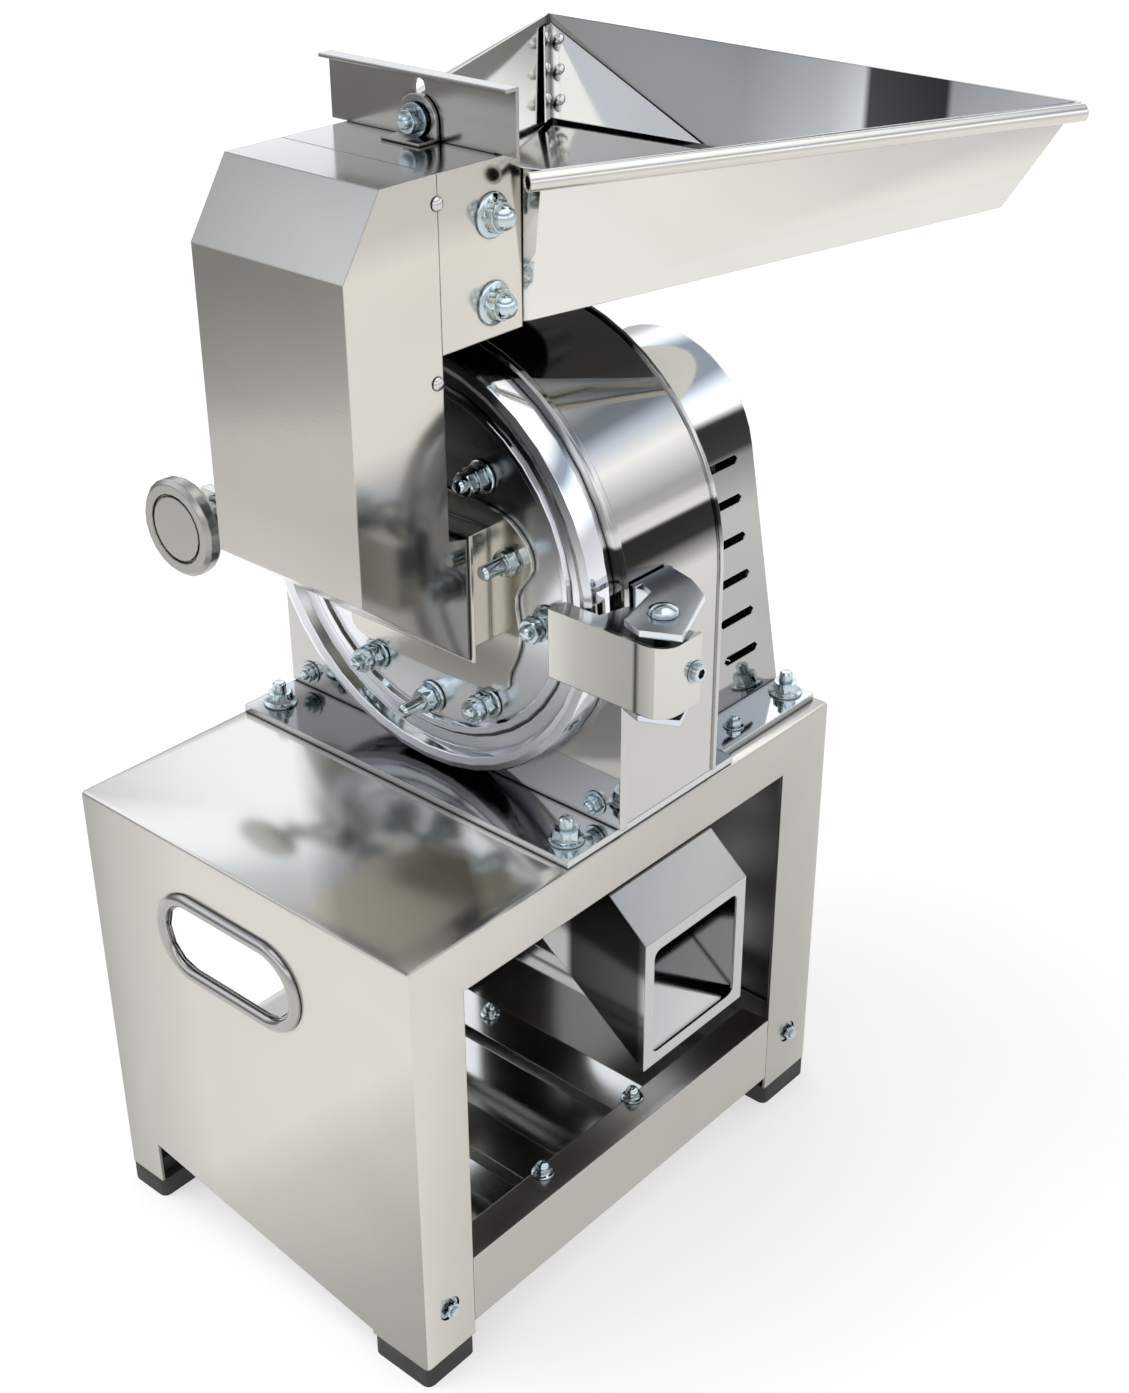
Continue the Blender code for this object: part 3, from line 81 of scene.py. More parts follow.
# Places of the small fasteners, and how much smaller than their profile some of them are
RAIL_TAB_FACE = 0.1479
LEG_BOLT_YS = (0.022, 0.388)
LEG_BOLT_Z = 0.061
LEG_BOLT_SCALE = 0.72
RAIL_TOP = 0.087
CROSSBAR_BOLTS = ((0.131, 0.132), (0.128, 0.230))
BAR_BOLT = (-0.013, 0.235, 0.0847)
CROSSBAR_BOLT_SCALE = 0.6
TABLE_PLATE_TOP = 0.3413
TABLE_NUTS = ((0.131, 0.157), (0.124, 0.397))
MOTOR_BOLT = (0.125, 0.336)
MOTOR_BOLT_SCALE = 0.66
HOUSING_BOLT = (0.130, 0.186, 0.354)
HOUSING_BOLT_SCALE = 0.75
THROAT_NUTS = ((0.0608, 0.176, 0.663), (0.0608, 0.176, 0.713))
BOX_RIVETS = ((0.0612, 0.1335, 0.728), (0.0612, 0.1295, 0.628))
HINGE_BOLT = (0.2085, 0.179, 0.478)
GATE_BOLT = (0.0, 0.1795, 0.7548)
GATE_BOLT_SCALE = 0.9
STUD_SEAT = 0.1757
DOUBLE_STUDS = {
    "upper_right": (0.049, 0.554),
    "upper_left": (-0.049, 0.554),
    "side_right": (0.100, 0.474),
    "side_left": (-0.100, 0.474),
    "lower_right": (0.050, 0.401),
    "lower_left": (-0.050, 0.401),
}
LONG_STUDS = {
    "inlet_right": (0.074, 0.508),
    "inlet_left": (-0.074, 0.508),
    "lower_middle": (0.0, 0.387),
}

# Hand slots: middle in x and z, radius and half the straight of the rim's middle line, half its
# width, steps along and across it, and the wall faces with the way each looks
SLOT_MIDDLE = (-0.012, 0.267)
RIM_RADIUS = 0.0285
RIM_STRAIGHT = 0.034
RIM_ROUND = 0.0045
RIM_STEPS = 64
RIM_ARC_STEPS = 12
SLOT_FACES = (("front", -0.0003, -1), ("rear", 0.4143, 1))

# Hinge arm in plan: a wrap of sheet round a channel, from the door to the pin
ARM_BEND = (0.195, 0.1645)
WRAP_OUTER = 0.014
WRAP_INNER = 0.0115
WRAP_Z = (0.4555, 0.5005)
CHANNEL_REACH = 0.0107
CHANNEL_Z = (0.4568, 0.4992)
CHANNEL_BACK = 0.1655
CHANNEL_SLANT = (0.1495, 0.1545)
ARM_START = 0.123
ARM_END = 0.185
BEND_STEPS = 12

# Tray's rear strip: half its width, and near, far, low and high of its level and its turned-up part
TRAY_HALF = 0.1418
TRAY_EDGE = ((0.3578, 0.4115, 0.0355, 0.0375), (0.4095, 0.4115, 0.0375, 0.0580))

# Folded hopper corner on the right: the ends of its fold, the far foot of its triangle, the way its
# strip runs, and how far from the fold and at which shares of its length the rivets sit
FOLD_TOP = Vector((0.21337, 0.53492, 0.73016))
FOLD_FOOT = Vector((0.1786, 0.49672, 0.6724))
TRIANGLE_FOOT = Vector((0.048, 0.5075, 0.6724))
STRIP_SIDEWAYS = Vector((-0.402, -0.916, 0))
HOPPER_MIDDLE = Vector((0, 0.37, 0.75))
RIVET_INSET = 0.0075
RIVET_SHARES = (0.20, 0.52, 0.84)


def add_camera():
    """The camera, placed and turned as it was for the photograph."""
    yaw, pitch, roll = (math.radians(angle) for angle in (CAMERA_YAW, CAMERA_PITCH, CAMERA_ROLL))
    forward = Vector((-math.sin(yaw) * math.cos(pitch), math.cos(yaw) * math.cos(pitch), -math.sin(pitch)))
    level = Vector((math.cos(yaw), math.sin(yaw), 0))
    rise = level.cross(forward)
    right = level * math.cos(roll) + rise * math.sin(roll)
    up = rise * math.cos(roll) - level * math.sin(roll)
    data = bpy.data.cameras.new("camera")
    data.lens = CAMERA_LENS
    data.sensor_width = SENSOR_WIDTH
    data.clip_start = CAMERA_NEAR
    camera = bpy.data.objects.new("camera", data)
    bpy.context.scene.collection.objects.link(camera)
    pose = Matrix((right, up, -forward)).transposed().to_4x4()
    pose.translation = CAMERA_PLACE
    camera.matrix_world = pose
    bpy.context.scene.camera = camera


# Shader helpers

# Least cosine between a surface's normal and a direction that it looks along
FACING = 0.9
# Steel: scale and spread of its cloudy tone and of its patches of roughness, depth of grain and
# waves in metres, how far the painted shade in its seams and crevices reaches and how dark it is, and the
# shares of open air between which it gives way to the plain tone
CLOUD_SCALE = 9.0
CLOUD_TONES = (0.97, 1.03)
PATCH_SCALE = 22.0
PATCH_SPREAD = 0.12
GRAIN_DEPTH = 0.0004
WAVE_SCALE = 7.0
WAVE_DEPTH = 0.02
CREVICE_SHADE_DEPTH = 0.005
CREVICE_SHADE_TONE = 0.08
CREVICE_SHADE_AIR = (0.30, 0.85)
SURFACE_SAMPLES = 6
# Matt materials: where the mottle's two colours lie in the noise, the scale of the patches of
# roughness as a share of the mottle's, their spread, and the depth of the skin in metres
MOTTLE_ENDS = (0.3, 0.7)
PATCH_SHARE = 0.4
MATT_SPREAD = 0.08
SKIN_DEPTH = 0.0006


def shader_node(tree, kind, inputs, **settings):
    """One node: settings are its properties, inputs are values or other nodes' sockets."""
    node = tree.nodes.new("ShaderNode" + kind)
    for name, value in settings.items():
        setattr(node, name, value)
    for name, value in inputs.items():
        if isinstance(value, bpy.types.NodeSocket):
            tree.links.new(value, node.inputs[name])
        else:
            node.inputs[name].default_value = value
    return node


def ramp(tree, value, stops):
    """A colour ramp through (position, grey or colour) stops."""
    node = shader_node(tree, "ValToRGB", {"Fac": value})
    elements = node.color_ramp.elements
    while len(elements) < len(stops):
        elements.new(0.5)
    for element, (place, colour) in zip(elements, stops):
        element.position = place
        rgb = colour if isinstance(colour, tuple) else (colour,) * 3
        element.color = (*rgb, 1.0)
    return node.outputs["Color"]


def noise(tree, scale, stretch=(1, 1, 1), detail=3.0, offset=0.0):
    """Noise on the piece's own coordinates, so that it stays with the piece when it moves."""
    place = shader_node(tree, "TexCoord", {}).outputs["Object"]
    mapped = shader_node(tree, "Mapping", {"Vector": place, "Scale": stretch,
                                           "Location": (offset, offset, offset)})
    return shader_node(tree, "TexNoise", {"Vector": mapped.outputs["Vector"], "Scale": scale,
                                          "Detail": detail}).outputs["Fac"]


def remap(tree, value, low, high, start=0.3, end=0.7):
    """A value stretched from start and end to low and high; the ends as given suit noise."""
    return shader_node(tree, "MapRange", {"Value": value, "From Min": start, "From Max": end,
                                          "To Min": low, "To Max": high}).outputs["Result"]


def times(tree, first, second):
    """The product of two colours, or of a colour and a factor."""
    return shader_node(tree, "VectorMath", {0: first, 1: second}, operation="MULTIPLY").outputs[0]


def dot(tree, first, second):
    """The dot product of two vectors."""
    return shader_node(tree, "VectorMath", {0: first, 1: second}, operation="DOT_PRODUCT").outputs["Value"]


def looking(tree, direction):
    """One where the surface looks along the direction on its own piece, nought elsewhere."""
    normal = shader_node(tree, "TexCoord", {}).outputs["Normal"]
    along = dot(tree, normal, direction)
    return shader_node(tree, "Math", {0: along, 1: FACING}, operation="GREATER_THAN").outputs[0]


def inner_side(tree, middle):
    """One where the surface looks towards the middle of its piece, nought elsewhere."""
    coordinates = shader_node(tree, "TexCoord", {})
    outward = shader_node(tree, "VectorMath", {0: coordinates.outputs["Object"], 1: middle + BENCH},
                          operation="SUBTRACT").outputs[0]
    away = dot(tree, coordinates.outputs["Normal"], outward)
    return shader_node(tree, "Math", {0: away, 1: 0.0}, operation="LESS_THAN").outputs[0]


def painted_light_factor(tree, face, line, stops):
    """A factor of painted light and shade that follows a line through (metres, factor) stops.

    It holds for the surfaces that look along face, or for all of them where face is None.
    """
    place = shader_node(tree, "TexCoord", {}).outputs["Object"]
    shift = Vector(line).dot(BENCH)
    first, last = stops[0][0], stops[-1][0]
    along = remap(tree, dot(tree, place, line), 0.0, 1.0, first + shift, last + shift)
    factor = ramp(tree, along, [((at - first) / (last - first), value) for at, value in stops])
    if face is None:
        return factor
    return remap(tree, looking(tree, face), 1.0, factor, 0.0, 1.0)


def new_material(name):
    """A new material, its node tree and its surface shader."""
    material = bpy.data.materials.new(name)
    material.use_nodes = True
    tree = material.node_tree
    return material, tree, tree.nodes["Principled BSDF"]


def sheet_metal(name, colour, roughness, painted_light=(), painted_inner_shade=None, flat=None, grain=(40, 40, 900),
                bump=0.015, wave=0.0, edge=0.0012):
    """Sheet steel: brushed grain, cloudy tone and roughness, rounded folds, and painted shade in seams and
    crevices.

    The painted light darkens or brightens some of its faces along lines, the painted inner shade is the
    middle of a shell and the tone of its inner faces, and flat is a direction and the roughness of the
    faces that look along it.
    """
    material, tree, shader = new_material(name)
    plain = times(tree, colour, remap(tree, noise(tree, CLOUD_SCALE, detail=4.0), *CLOUD_TONES))
    shade = plain
    # Painted light and shade: each set darkens or brightens the tone along its line.
    for face, line, stops in painted_light:
        shade = times(tree, shade, painted_light_factor(tree, face, line, stops))
    # Painted shade: the faces that look towards the middle of a shell take a darker tone, without the
    # painted light above.
    if painted_inner_shade is not None:
        middle, tone = painted_inner_shade
        shaded_inside = times(tree, plain, (tone, tone, tone))
        shade = shader_node(tree, "MixRGB", {"Fac": inner_side(tree, middle), "Color1": shade,
                                             "Color2": shaded_inside}).outputs[0]
    # Painted shade in seams, crevices and gaps between parts, where the surface sees little open air.
    open_air = shader_node(tree, "AmbientOcclusion", {"Distance": CREVICE_SHADE_DEPTH},
                           samples=SURFACE_SAMPLES).outputs["AO"]
    shade = times(tree, shade, remap(tree, open_air, CREVICE_SHADE_TONE, 1.0, *CREVICE_SHADE_AIR))
    tree.links.new(shade, shader.inputs["Base Color"])
    shader.inputs["Metallic"].default_value = 1.0
    patches = remap(tree, noise(tree, PATCH_SCALE, offset=3.0), roughness * (1 - PATCH_SPREAD),
                    roughness * (1 + PATCH_SPREAD))
    if flat is not None:
        face, finish = flat
        patches = remap(tree, looking(tree, face), patches, finish, 0.0, 1.0)
    tree.links.new(patches, shader.inputs["Roughness"])
    fold = shader_node(tree, "Bevel", {"Radius": edge}, samples=SURFACE_SAMPLES).outputs["Normal"]
    lines = noise(tree, 1.0, grain, detail=2.0)
    surface = shader_node(tree, "Bump", {"Height": lines, "Strength": bump, "Distance": GRAIN_DEPTH,
                                         "Normal": fold}).outputs["Normal"]
    if wave:
        swell = noise(tree, WAVE_SCALE, detail=1.0, offset=7.0)
        surface = shader_node(tree, "Bump", {"Height": swell, "Strength": wave, "Distance": WAVE_DEPTH,
                                             "Normal": surface}).outputs["Normal"]
    tree.links.new(surface, shader.inputs["Normal"])
    return material


def matt_material(name, colour, second, roughness, scale=60.0, bump=0.2, metallic=0.0):
    """Rubber, plastic, cast metal and windings: mottled colour over a fine raised texture."""
    material, tree, shader = new_material(name)
    mottle = noise(tree, scale, detail=5.0)
    colours = ramp(tree, mottle, list(zip(MOTTLE_ENDS, (colour, second))))
    tree.links.new(colours, shader.inputs["Base Color"])
    shader.inputs["Metallic"].default_value = metallic
    patches = remap(tree, noise(tree, scale * PATCH_SHARE), roughness - MATT_SPREAD,
                    roughness + MATT_SPREAD)
    tree.links.new(patches, shader.inputs["Roughness"])
    skin = shader_node(tree, "Bump", {"Height": mottle, "Strength": bump, "Distance": SKIN_DEPTH})
    tree.links.new(skin.outputs["Normal"], shader.inputs["Normal"])
    return material


# Looks. Painted light and shade on the steel: each set is the way its faces look, the line it follows and
# (metres, factor) stops, where a factor under one paints shade and one over one paints a highlight

WARM = (0.660, 0.640, 0.587)
# Middles of the stand and the chute, whose inner faces get painted shade.
STAND_MIDDLE = Vector((0, 0.207, 0.18))
CHUTE_MIDDLE = Vector((0.120, 0.249, 0.203))
# Painted shade on the stand: its front darker towards the left and the lower right, its sides darker
# towards the back.
STAND_FRONT_PAINTED_SHADE = (FRONT, RIGHT, ((-0.150, 0.52), (-0.120, 0.72), (-0.050, 0.96), (0.150, 1.0)))
STAND_CORNER_PAINTED_SHADE = (FRONT, Vector((0.7, 0, -0.7)), ((-0.090, 1.0), (-0.055, 0.80), (0.030, 0.58),
                                               (0.090, 0.50)))
STAND_SIDE_PAINTED_SHADE = (RIGHT, REAR, ((0.0, 0.95), (0.120, 0.85), (0.250, 0.72), (0.414, 0.72)))
# Painted reflection on the table top: a dark band where the machine above shows in it.
TABLE_PAINTED_REFLECTION = (UP, Vector((0.619, 0.785, 0)), ((0.0, 1.0), (0.045, 1.0), (0.062, 0.60), (0.120, 0.45),
                                              (0.140, 0.45), (0.150, 0.90), (0.250, 0.90)))
STAND_STEEL = sheet_metal("stand_steel", WARM, 0.20, (STAND_FRONT_PAINTED_SHADE, STAND_CORNER_PAINTED_SHADE, STAND_SIDE_PAINTED_SHADE, TABLE_PAINTED_REFLECTION),
                          painted_inner_shade=(STAND_MIDDLE, 0.35), flat=(UP, 0.16))
SATIN = sheet_metal("satin_steel", WARM, 0.18)
SLOT_RIM = sheet_metal("slot_rim_steel", (0.42, 0.41, 0.39), 0.14)
# Painted highlights along the outer edges of the rails' tops and painted shade between them.
RAIL_PAINTED_LIGHT = (UP, RIGHT, ((-0.150, 1.2), (-0.144, 0.8), (0.144, 0.8), (0.150, 1.2)))
RAIL_STEEL = sheet_metal("rail_steel", (0.52, 0.50, 0.46), 0.16, (RAIL_PAINTED_LIGHT,), flat=(UP, 0.24))
TRAY_STEEL = sheet_metal("tray_steel", (0.55, 0.55, 0.53), 0.11, wave=0.03)
PLATE_STEEL = sheet_metal("plate_steel", (0.62, 0.64, 0.66), 0.07, wave=0.05)
# Painted shade on the base plate's top, darkest over its middle and lighter at its sides.
BASE_PAINTED_SHADE = (UP, RIGHT, ((-0.145, 0.85), (-0.125, 0.35), (0.050, 0.30), (0.110, 0.60), (0.145, 0.90)))
BASE_STEEL = sheet_metal("base_steel", (0.62, 0.63, 0.63), 0.10, (BASE_PAINTED_SHADE,))
# Painted shade on the undersides of the feed box and the hopper, lighter towards the back.
UNDERSIDE_PAINTED_SHADE = (DOWN, REAR, ((0.060, 0.12), (0.340, 0.12), (0.390, 0.90), (0.540, 1.0)))
# Painted shade on the feed box: its front darker below its top, its top darker to the right, its chamfer
# darker to the left, and its sides darker below and at their top.
BOX_FRONT_PAINTED_SHADE = (FRONT, UP, ((0.480, 0.84), (0.560, 0.68), (0.620, 0.75), (0.700, 1.0)))
BOX_TOP_PAINTED_SHADE = (UP, RIGHT, ((-0.061, 0.70), (0.061, 0.50)))
CHAMFER_PAINTED_SHADE = (CHAMFER, RIGHT, ((-0.061, 0.43), (0.061, 0.64)))
BOX_SIDE_PAINTED_SHADE = (RIGHT, UP, ((0.480, 0.42), (0.565, 0.42), (0.600, 0.95), (0.700, 1.0), (0.720, 0.80)))
BOX_STEEL = sheet_metal("box_steel", WARM, 0.13,
                        (UNDERSIDE_PAINTED_SHADE, BOX_FRONT_PAINTED_SHADE, BOX_TOP_PAINTED_SHADE, CHAMFER_PAINTED_SHADE, BOX_SIDE_PAINTED_SHADE))
GATE_STEEL = sheet_metal("gate_steel", (0.42, 0.41, 0.38), 0.16)
# Painted shade over the hopper's rear wall, lighter to the right, with a painted dark reflection in a
# narrow band.
REAR_WALL_PAINTED_REFLECTION = (FRONT, Vector((1.0, 0, 0.25)), ((-0.050, 0.26), (0.150, 0.32), (0.220, 0.55),
                                                  (0.247, 0.80), (0.252, 0.08), (0.311, 0.05),
                                                  (0.315, 0.50), (0.400, 0.80)))
HOPPER_STEEL = sheet_metal("hopper_steel", (0.72, 0.71, 0.67), 0.10, (REAR_WALL_PAINTED_REFLECTION, UNDERSIDE_PAINTED_SHADE))
CORNER_STEEL = sheet_metal("corner_steel", (0.74, 0.74, 0.73), 0.12)
# Painted reflection round the drum: a black band with a painted highlight line above it, and painted shade
# towards the top.
DRUM_PAINTED_REFLECTION = (None, UP, ((0.340, 0.95), (0.440, 0.90), (0.498, 1.0), (0.511, 0.30), (0.516, 0.04),
                        (0.531, 0.04), (0.533, 1.40), (0.539, 1.40), (0.543, 0.85), (0.585, 0.80),
                        (0.610, 0.45), (0.650, 0.30)))
DRUM_STEEL = sheet_metal("drum_steel", (0.60, 0.59, 0.57), 0.05, (DRUM_PAINTED_REFLECTION,), bump=0.006, wave=0.04)
EAR_STEEL = sheet_metal("ear_steel", (0.68, 0.72, 0.78), 0.20)
MIRROR = sheet_metal("mirror_steel", (0.60, 0.59, 0.57), 0.05, bump=0.006, wave=0.04)
# Painted shade on the door's front, darker towards its top.
DOOR_PAINTED_SHADE = (FRONT, UP, ((0.345, 1.0), (0.500, 1.0), (0.540, 0.40), (0.575, 0.12)))
DOOR_STEEL = sheet_metal("door_steel", (0.84, 0.86, 0.89), 0.07, (DOOR_PAINTED_SHADE,), flat=(FRONT, 0.22),
                         bump=0.006, wave=0.05)
# Painted shade on the chute: a dark band across its front, a top darker to the right, and darker inner
# faces.
CHUTE_PAINTED_SHADES = ((FRONT, RIGHT, ((0.0, 0.80), (0.096, 0.80), (0.102, 0.05), (0.158, 0.14), (0.165, 0.90))),
               (CHUTE_TOP, RIGHT, ((0.0, 0.62), (0.165, 0.48))))
CHUTE_STEEL = sheet_metal("chute_steel", (0.56, 0.56, 0.55), 0.07, CHUTE_PAINTED_SHADES,
                          painted_inner_shade=(CHUTE_MIDDLE, 0.62), wave=0.03)
# Painted shade on the arm's front, darker towards the bend, with a thin dark line where the bend starts.
ARM_PAINTED_SHADE = (FRONT, RIGHT, ((0.123, 1.0), (0.145, 0.72), (0.170, 0.60), (0.186, 0.56), (0.1885, 0.06),
                           (0.1915, 0.55), (0.210, 0.95)))
ARM_STEEL = sheet_metal("arm_steel", (0.62, 0.61, 0.57), 0.10, (ARM_PAINTED_SHADE,), edge=0.0008)
# Painted reflection round the motor cowl: a black band with a painted highlight above it, and painted
# shade below.
COWL_PAINTED_REFLECTION = (None, UP, ((0.340, 0.62), (0.470, 0.72), (0.506, 0.40), (0.512, 0.06), (0.533, 0.06),
                        (0.537, 1.20), (0.575, 1.10), (0.620, 0.85)))
COWL_STEEL = sheet_metal("cowl_steel", (0.64, 0.64, 0.62), 0.06, (COWL_PAINTED_REFLECTION,), bump=0.006)
KNOB_STEEL = sheet_metal("knob_steel", (0.38, 0.37, 0.34), 0.22)
ZINC = sheet_metal("zinc_plate", (0.54, 0.62, 0.65), 0.05, grain=(300, 300, 300), bump=0.008,
                   edge=0.0004)
DARK_STEEL = sheet_metal("hard_steel_face", (0.33, 0.33, 0.34), 0.34, grain=(200, 200, 200),
                         bump=0.15)
CAST = matt_material("cast_skin", (0.45, 0.46, 0.47), (0.55, 0.56, 0.57), 0.48, 90.0, 0.4, 1.0)
COPPER = matt_material("winding_lacquer", (0.50, 0.20, 0.08), (0.62, 0.29, 0.12), 0.35, 240.0, 0.5, 0.8)
RUBBER = matt_material("moulded_rubber", (0.018, 0.018, 0.019), (0.030, 0.030, 0.031), 0.62, 120.0)
PLASTIC = matt_material("moulded_plastic", (0.020, 0.020, 0.021), (0.032, 0.032, 0.033), 0.45, 150.0)

SLOT_LOOKS = {
    "satin_steel": SATIN,
    "polished_steel": MIRROR,
    "zinc_steel": ZINC,
    "black_rubber": RUBBER,
    "cast_aluminium": CAST,
    "hard_steel": DARK_STEEL,
    "copper_winding": COPPER,
    "black_plastic": PLASTIC,
}
NODE_LOOKS = {
    "stand_shell": STAND_STEEL,
    "front_handle_ring": SLOT_RIM,
    "rear_handle_ring": SLOT_RIM,
    "side_rail_left": RAIL_STEEL,
    "side_rail_right": RAIL_STEEL,
    "crossbar_front": TRAY_STEEL,
    "crossbar_rear": TRAY_STEEL,
    "bottom_tray": TRAY_STEEL,
    "base_plate": BASE_STEEL,
    "motor_base_plate": PLATE_STEEL,
    "feed_box": BOX_STEEL,
    "feed_throat": BOX_STEEL,
    "feed_gate": GATE_STEEL,
    "gate_tongue": GATE_STEEL,
    "hopper": HOPPER_STEEL,
    "hopper_corner_left": CORNER_STEEL,
    "hopper_corner_right": CORNER_STEEL,
    "door_plate": DOOR_STEEL,
    "chamber_housing": DRUM_STEEL,
    "hinge_bracket": EAR_STEEL,
    "discharge_chute": CHUTE_STEEL,
    "hinge_arm": ARM_STEEL,
    "clamp_knob": KNOB_STEEL,
    "motor_cowl": COWL_STEEL,
}


def dress_nodes():
    """Give every CAD node its own look or that of its record slot."""
    for part in frame["record"]["subparts"]:
        look = NODE_LOOKS.get(part["node"], SLOT_LOOKS[part["material_slot"]])
        for slot in frame["nodes"][part["node"]].material_slots:
            slot.material = look


# Degrees under which a fold is shaded smooth, and metres within which corners are joined
SMOOTH_ANGLE = 30.0
MERGE_DISTANCE = 0.00001


def smoothing_group():
    """Geometry nodes that join split corners and shade all but the sharp folds smooth."""
    group = bpy.data.node_groups.new("smooth_folds", "GeometryNodeTree")
    group.interface.new_socket("Geometry", in_out="INPUT", socket_type="NodeSocketGeometry")
    group.interface.new_socket("Geometry", in_out="OUTPUT", socket_type="NodeSocketGeometry")
    start = group.nodes.new("NodeGroupInput")
    merge = group.nodes.new("GeometryNodeMergeByDistance")
    merge.inputs["Distance"].default_value = MERGE_DISTANCE
    forget = group.nodes.new("GeometryNodeRemoveAttribute")
    forget.inputs["Name"].default_value = "custom_normal"
    faces = group.nodes.new("GeometryNodeSetShadeSmooth")
    faces.domain = "FACE"
    angle = group.nodes.new("GeometryNodeInputMeshEdgeAngle")
    compare = group.nodes.new("FunctionNodeCompare")
    compare.operation = "LESS_THAN"
    compare.inputs[1].default_value = math.radians(SMOOTH_ANGLE)
    edges = group.nodes.new("GeometryNodeSetShadeSmooth")
    edges.domain = "EDGE"
    end = group.nodes.new("NodeGroupOutput")
    link = group.links.new
    link(start.outputs[0], merge.inputs["Geometry"])
    link(merge.outputs["Geometry"], forget.inputs["Geometry"])
    link(forget.outputs["Geometry"], faces.inputs["Geometry"])
    link(faces.outputs["Geometry"], edges.inputs["Geometry"])
    link(angle.outputs["Unsigned Angle"], compare.inputs[0])
    link(compare.outputs[0], edges.inputs["Shade Smooth"])
    link(edges.outputs["Geometry"], end.inputs[0])
    return group


def smooth_nodes():
    """Shade every CAD node smooth over its gentle turns."""
    group = smoothing_group()
    for obj in frame["nodes"].values():
        modifier = obj.modifiers.new("smooth_folds", "NODES")
        modifier.node_group = group


# Studio: a floor, a white surround, one soft lamp and a backdrop that only the metal shows. The
# backdrop clears the floor by its lift. Its colours are (degrees of elevation, radiance) stops, in
# the room and on the left, and one set gives way to the other between the left shares.

WHITE = (1.0, 1.0, 1.0, 1.0)
FLOOR_SIZE = 40.0
FLOOR_TONE = 0.50
FLOOR_ROUGHNESS = 0.9
FLOOR_GLOW = 0.55
SURROUND_LEVEL = 0.65
KEY_PLACE = (-1.0, -1.2, 2.7)
KEY_STRENGTH = 1.3
KEY_SPREAD = 50.0
DOME_RADIUS = 1.7
DOME_SEGMENTS = 48
DOME_RINGS = 24
DOME_MIDDLE = (0.0, 0.0, 0.5)
DOME_LIFT = 0.002
DOME_STRENGTH = 1.8
LOWEST_SINE = -0.5
LEFT_ANGLE = math.radians(190)
LEFT_SIDE = (math.cos(LEFT_ANGLE), math.sin(LEFT_ANGLE), 0.0)
LEFT_SHARE = (0.30, 0.65)
LEFT_STOPS = (
    (-16.4, (0.80, 0.80, 0.80)),
    (-14, (0.55, 0.55, 0.55)),
    (-10, (0.30, 0.30, 0.30)),
    (-2, (0.30, 0.30, 0.31)),
    (12, (0.75, 0.77, 0.82)),
    (22, (1.40, 1.45, 1.55)),
    (34, (1.35, 1.42, 1.55)),
    (42, (0.76, 0.82, 0.92)),
    (60, (0.60, 0.61, 0.63)),
)
ROOM_STOPS = (
    (-16.4, (1.05, 1.05, 1.04)),
    (-11, (1.08, 1.08, 1.06)),
    (-4, (0.95, 0.95, 0.94)),
    (4, (0.80, 0.80, 0.81)),
    (11, (0.72, 0.72, 0.75)),
    (18, (1.22, 1.24, 1.30)),
    (25, (1.80, 1.80, 1.80)),
    (32, (1.08, 1.19, 1.37)),
    (37, (0.36, 0.42, 0.52)),
    (41, (0.40, 0.44, 0.50)),
    (47, (1.00, 1.04, 1.10)),
    (60, (1.60, 1.62, 1.66)),
)


def dome_ramp(tree, height, stops):
    """Brightness over the sine of the elevation, from (degrees, radiance) stops."""
    spread = remap(tree, height, 0.0, 1.0, LOWEST_SINE, 1.0)
    places = [(math.sin(math.radians(angle)) - LOWEST_SINE) / (1.0 - LOWEST_SINE) for angle, _ in stops]
    colours = [tuple(level / DOME_STRENGTH for level in colour) for _, colour in stops]
    return ramp(tree, spread, list(zip(places, colours)))


def glow_material(name):
    """A new material that gives light, its node tree and its light shader."""
    material = bpy.data.materials.new(name)
    material.use_nodes = True
    tree = material.node_tree
    tree.nodes.clear()
    glow = tree.nodes.new("ShaderNodeEmission")
    out = tree.nodes.new("ShaderNodeOutputMaterial")
    tree.links.new(glow.outputs["Emission"], out.inputs["Surface"])
    return material, tree, glow


def dome_material():
    """A round studio backdrop: bands of light by height, which differ on the left."""
    material, tree, glow = glow_material("studio_backdrop")
    place = shader_node(tree, "TexCoord", {}).outputs["Object"]
    away = shader_node(tree, "VectorMath", {0: place, 1: DOME_MIDDLE}, operation="SUBTRACT").outputs[0]
    direction = shader_node(tree, "VectorMath", {0: away}, operation="NORMALIZE").outputs[0]
    height = shader_node(tree, "SeparateXYZ", {0: direction}).outputs["Z"]
    level = shader_node(tree, "VectorMath", {0: times(tree, away, (1.0, 1.0, 0.0))},
                        operation="NORMALIZE").outputs[0]
    towards = remap(tree, dot(tree, level, LEFT_SIDE), 0.0, 1.0, *LEFT_SHARE)
    mix = shader_node(tree, "MixRGB", {"Fac": towards, "Color1": dome_ramp(tree, height, ROOM_STOPS),
                                       "Color2": dome_ramp(tree, height, LEFT_STOPS)})
    tree.links.new(mix.outputs[0], glow.inputs["Color"])
    glow.inputs["Strength"].default_value = DOME_STRENGTH
    return material


def only_reflected(obj):
    """A stage piece that shows in polished metal only."""
    bpy.context.scene.collection.objects.link(obj)
    obj.visible_camera = False
    obj.visible_diffuse = False
    obj.visible_shadow = False
    obj.visible_transmission = False


def mesh_object(name, bm, material):
    """A new object of a finished mesh with one material."""
    mesh = bpy.data.meshes.new(name)
    bm.to_mesh(mesh)
    bm.free()
    mesh.materials.append(material)
    return bpy.data.objects.new(name, mesh)


